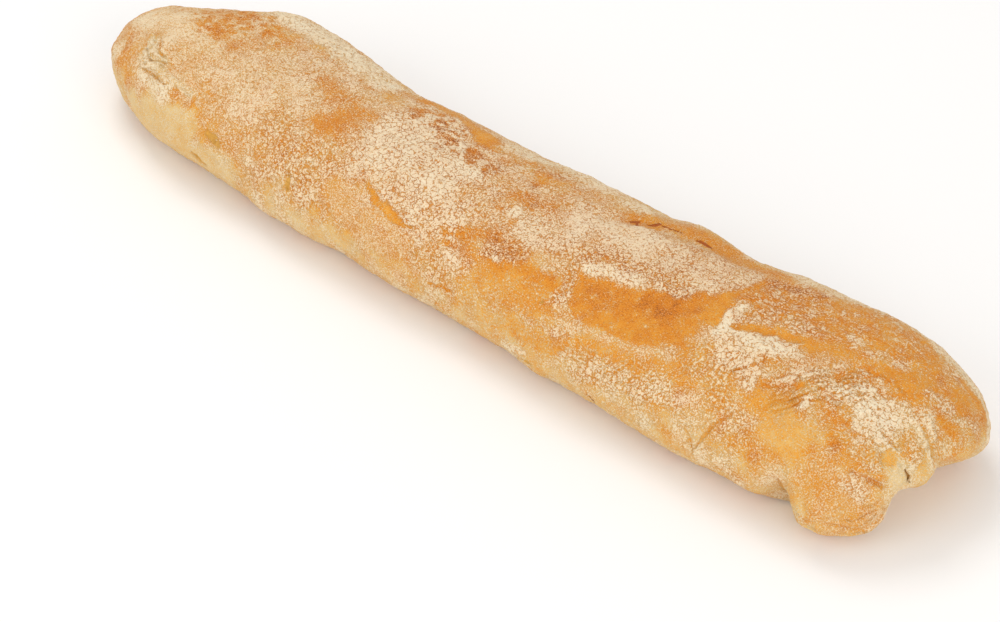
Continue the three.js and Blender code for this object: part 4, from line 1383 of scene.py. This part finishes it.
@dataclass(frozen=True)
class CrustRoughness:
    """The geometry tree that gives the whole crust its low lumps, its grain and the thickness of its flour.

    Attributes:
        lump_mm: how far apart the low lumps are.
        lump_height_mm: how much they rise and fall.
        grain_mm: how far apart the grains are.
        grain_height_mm: how much they rise and fall.
        flour_mm: how far apart the heaps of flour are.
        flour_height_mm: how thick the flour lies.
        flour_foot: the value of its noise that adds nothing, low because most flour lies on the skin.
        base_fade_mm: the heights between which the roughness sets in above the flat base.
    """

    lump_mm: float = 9.0
    lump_height_mm: float = 1.7
    grain_mm: float = 3.6
    grain_height_mm: float = 1.1
    flour_mm: float = 2.2
    flour_height_mm: float = 0.7
    flour_foot: float = 0.3
    base_fade_mm: Range = (0.2, 6.0)

    def apply(self, piece: bpy.types.Object, material: bpy.types.Material) -> None:
        """Roughens a piece for good.

        Args:
            piece: the crust, with its flour attribute.
            material: its finish.
        """
        modifier = piece.modifiers.new("roughness", "NODES")
        modifier.node_group = self.tree()
        heights = {
            "Lump Height": self.lump_height_mm * MM,
            "Grain Height": self.grain_height_mm * MM,
            "Flour Height": self.flour_height_mm * MM,
        }
        set_inputs(modifier, heights | {"Material": material})
        old = piece.data
        piece.data = modifier_mesh(piece, piece.name)
        bpy.data.meshes.remove(old)

    def tree(self) -> bpy.types.GeometryNodeTree:
        """Builds the tree, with the three heights in metres and the material as its inputs."""
        tree = bpy.data.node_groups.new("crust roughness", "GeometryNodeTree")
        add = partial(add_node, tree)
        tree.interface.new_socket("Geometry", in_out="INPUT", socket_type="NodeSocketGeometry")
        for name in ("Lump Height", "Grain Height", "Flour Height"):
            tree.interface.new_socket(name, in_out="INPUT", socket_type="NodeSocketFloat")
        tree.interface.new_socket("Material", in_out="INPUT", socket_type="NodeSocketMaterial")
        tree.interface.new_socket("Geometry", in_out="OUTPUT", socket_type="NodeSocketGeometry")
        given = add("NodeGroupInput").outputs
        position = add("GeometryNodeInputPosition")
        normal = add("GeometryNodeInputNormal")
        cover = add("GeometryNodeInputNamedAttribute", {"Name": "flour"}, data_type="FLOAT")
        flour_height = add("ShaderNodeMath", {0: cover, 1: given["Flour Height"]}, operation="MULTIPLY")
        total = 0.0
        for size_mm, height, unmoved in (
            (self.lump_mm, given["Lump Height"], NOISE_MIDDLE),
            (self.grain_mm, given["Grain Height"], NOISE_MIDDLE),
            (self.flour_mm, flour_height, self.flour_foot),
        ):
            found = add(
                "ShaderNodeTexNoise", {"Vector": position, "Scale": per_metre(size_mm), "Detail": 2.0}
            )
            level = add("ShaderNodeMath", {0: found, 1: unmoved}, operation="SUBTRACT")
            total = add("ShaderNodeMath", {0: level, 1: height, 2: total}, operation="MULTIPLY_ADD")
        above_base = add("ShaderNodeSeparateXYZ", {0: position}).outputs["Z"]
        sets_in, full = (height_mm * MM for height_mm in self.base_fade_mm)
        fade = add(
            "ShaderNodeMapRange",
            {"Value": above_base, "From Min": sets_in, "From Max": full},
            interpolation_type="SMOOTHSTEP",
        )
        faded = add("ShaderNodeMath", {0: total, 1: fade}, operation="MULTIPLY")
        offset = add("ShaderNodeVectorMath", {0: normal, "Scale": faded}, operation="SCALE")
        moved = add("GeometryNodeSetPosition", {"Geometry": given["Geometry"], "Offset": offset})
        whole = add("GeometryNodeRealizeInstances", {"Geometry": moved})
        coated = add("GeometryNodeSetMaterial", {"Geometry": whole, "Material": given["Material"]})
        add("NodeGroupOutput", {"Geometry": coated})
        return tree


@dataclass(frozen=True)
class FlourClumps:
    """Small clumps of flour that lie where the crust was dusted most.

    Attributes:
        spacing_mm: how close together the clumps lie on the thickest flour.
        thinnest_flour: the share of cover below which none lie.
        thickest_flour: the share of cover from which they lie closest.
        smallest_mm: the width of the smallest.
        largest_mm: the width of the largest.
        flatness: their height over their width.
        seed: the seed of the scatter.
        finish: the finish.
    """

    spacing_mm: float = 2.3
    thinnest_flour: float = 0.35
    thickest_flour: float = 0.9
    smallest_mm: float = 0.35
    largest_mm: float = 0.95
    flatness: float = 0.55
    seed: int = 7
    finish: LooseFlour = field(default_factory=LooseFlour)

    def build(self, crust: bpy.types.Object) -> bpy.types.Object:
        """Scatters the clumps.

        Args:
            crust: the finished crust.

        Returns:
            The clumps as one piece, riding on the root body.
        """
        holder = bpy.data.objects.new("flour_clumps", crust.data.copy())
        bpy.context.scene.collection.objects.link(holder)
        modifier = holder.modifiers.new("scatter", "NODES")
        modifier.node_group = self.tree()
        sizes = {
            "Density": 1 / (self.spacing_mm * MM) ** 2,
            "Thinnest Flour": self.thinnest_flour,
            "Thickest Flour": self.thickest_flour,
            "Smallest": self.smallest_mm * MM,
            "Largest": self.largest_mm * MM,
            "Flatness": self.flatness,
            "Seed": self.seed,
        }
        set_inputs(modifier, sizes | {"Material": self.finish.material()})
        old = holder.data
        holder.data = modifier_mesh(holder, "flour_clumps")
        bpy.data.meshes.remove(old)
        for name in LAYERS:
            if name in holder.data.attributes:
                holder.data.attributes.remove(holder.data.attributes[name])
        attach(holder, ROOT)
        return holder

    def tree(self) -> bpy.types.GeometryNodeTree:
        """Builds the tree, with sizes in metres, the seed and the material as its inputs."""
        tree = bpy.data.node_groups.new("flour clumps", "GeometryNodeTree")
        add = partial(add_node, tree)
        tree.interface.new_socket("Geometry", in_out="INPUT", socket_type="NodeSocketGeometry")
        for name in ("Density", "Thinnest Flour", "Thickest Flour", "Smallest", "Largest", "Flatness"):
            tree.interface.new_socket(name, in_out="INPUT", socket_type="NodeSocketFloat")
        tree.interface.new_socket("Seed", in_out="INPUT", socket_type="NodeSocketInt")
        tree.interface.new_socket("Material", in_out="INPUT", socket_type="NodeSocketMaterial")
        tree.interface.new_socket("Geometry", in_out="OUTPUT", socket_type="NodeSocketGeometry")
        given = add("NodeGroupInput").outputs
        cover = add("GeometryNodeInputNamedAttribute", {"Name": "flour"}, data_type="FLOAT")
        share = add(
            "ShaderNodeMapRange",
            {"Value": cover, "From Min": given["Thinnest Flour"], "From Max": given["Thickest Flour"]},
        )
        density = add("ShaderNodeMath", {0: share, 1: given["Density"]}, operation="MULTIPLY")
        scatter = add(
            "GeometryNodeDistributePointsOnFaces",
            {"Mesh": given["Geometry"], "Density": density, "Seed": given["Seed"]},
        )
        width = add(
            "FunctionNodeRandomValue",
            {"Min": given["Smallest"], "Max": given["Largest"], "Seed": given["Seed"]},
            data_type="FLOAT",
        )
        thickness = add("ShaderNodeMath", {0: width, 1: given["Flatness"]}, operation="MULTIPLY")
        size = add("ShaderNodeCombineXYZ", {0: width, 1: width, 2: thickness})
        clump = add("GeometryNodeMeshIcoSphere", {"Radius": 0.5, "Subdivisions": 1})
        placed = add(
            "GeometryNodeInstanceOnPoints",
            {
                "Points": scatter.outputs["Points"],
                "Instance": clump.outputs["Mesh"],
                "Rotation": scatter.outputs["Rotation"],
                "Scale": size,
            },
        )
        whole = add("GeometryNodeRealizeInstances", {"Geometry": placed})
        coated = add("GeometryNodeSetMaterial", {"Geometry": whole, "Material": given["Material"]})
        add("NodeGroupOutput", {"Geometry": coated})
        return tree


# ---- The studio ----


@dataclass(frozen=True)
class Softbox:
    """A square soft light that points at the loaf.

    Attributes:
        name: what the light is called.
        at: where it hangs, in metres.
        size: the length of its side in metres.
        power: its power in watts.
        tone: its colour.
    """

    name: str
    at: tuple[float, float, float]
    size: float
    power: float
    tone: str = "FFFDFA"

    def build(self) -> None:
        """Hangs the light."""
        lamp = bpy.data.lights.new(self.name, "AREA")
        lamp.shape = "SQUARE"
        lamp.size = self.size
        lamp.energy = self.power
        lamp.color = colour(self.tone)[:3]
        held = bpy.data.objects.new(self.name, lamp)
        held.location = self.at
        held.rotation_euler = (-Vector(self.at)).to_track_quat("-Z", "Y").to_euler()
        bpy.context.scene.collection.objects.link(held)


@dataclass
class Studio:
    """A pale floor of paper, soft light and the camera.

    Attributes:
        azimuth: where the camera stands round the loaf, in degrees.
        elevation: how high it looks down from, in degrees.
        distance: how far it is from its target, in metres.
        target: what it looks at.
        lens: its focal length in mm.
        sensor_width: the width of its sensor in mm.
        floor_size: the length of the paper's side, in metres.
        ambient: how strongly the white room lights the loaf.
        softboxes: the soft lights.
        paper: the finish of the floor.
    """

    azimuth: float = 41.4
    elevation: float = 40.0
    distance: float = 1.25
    target: tuple[float, float, float] = (0.04081, -0.04998, 0.03)
    lens: float = 100.0
    sensor_width: float = 36.0
    floor_size: float = 8.0
    ambient: float = 0.65
    softboxes: tuple[Softbox, ...] = (
        Softbox("overhead softbox", at=(-0.9, 0.4, 1.8), size=0.9, power=11),
        Softbox("left fill", at=(-0.6, -1.8, 1.0), size=1.4, power=11),
        Softbox("right fill", at=(1.7, -0.7, 0.9), size=1.4, power=13.5),
    )
    paper: StudioPaper = field(default_factory=StudioPaper)

    def build(self) -> None:
        """Makes the floor, the light and the camera."""
        self._floor()
        self._lights()
        self._camera()

    def _floor(self) -> None:
        """Lays the paper, its top face at the height that the loaf lies on."""
        half = self.floor_size / 2
        corners = [(-half, -half, 0), (half, -half, 0), (half, half, 0), (-half, half, 0)]
        mesh = bpy.data.meshes.new("paper")
        mesh.from_pydata(corners, [], [(0, 1, 2, 3)])
        mesh.materials.append(self.paper.material())
        floor = bpy.data.objects.new("paper", mesh)
        bpy.context.scene.collection.objects.link(floor)
        floor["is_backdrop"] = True

    def _lights(self) -> None:
        """Hangs the softboxes and lights the room evenly."""
        for softbox in self.softboxes:
            softbox.build()
        world = bpy.data.worlds.new("white room")
        world.use_nodes = True
        sky = world.node_tree.nodes["Background"]
        sky.inputs["Color"].default_value = colour("FFFFFF")
        sky.inputs["Strength"].default_value = self.ambient
        bpy.context.scene.world = world
        bpy.context.scene.view_settings.view_transform = "Standard"

    def _camera(self) -> None:
        """Sets the camera on its stand."""
        around = math.radians(self.azimuth)
        above = math.radians(self.elevation)
        level = math.cos(above)
        back = Vector((math.sin(around) * level, -math.cos(around) * level, math.sin(above)))
        data = bpy.data.cameras.new("camera")
        data.lens = self.lens
        data.sensor_width = self.sensor_width
        data.clip_start = 0.01
        camera = bpy.data.objects.new("camera", data)
        camera.location = Vector(self.target) + back * self.distance
        camera.rotation_euler = (-back).to_track_quat("-Z", "Y").to_euler()
        bpy.context.scene.collection.objects.link(camera)
        bpy.context.scene.camera = camera


def main() -> None:
    """Loads the frame, dresses the loaf and sets up the studio."""
    logging.basicConfig(level=logging.INFO, format="%(name)s: %(message)s")
    noise.seed_set(NOISE_SEED)
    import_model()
    crust = Crust().build()
    clumps = FlourClumps().build(crust)
    for piece in (crust, clumps):
        log.info("%s: %d faces", piece.name, len(piece.data.polygons))
    Studio().build()


if __name__ == "__main__":
    main()
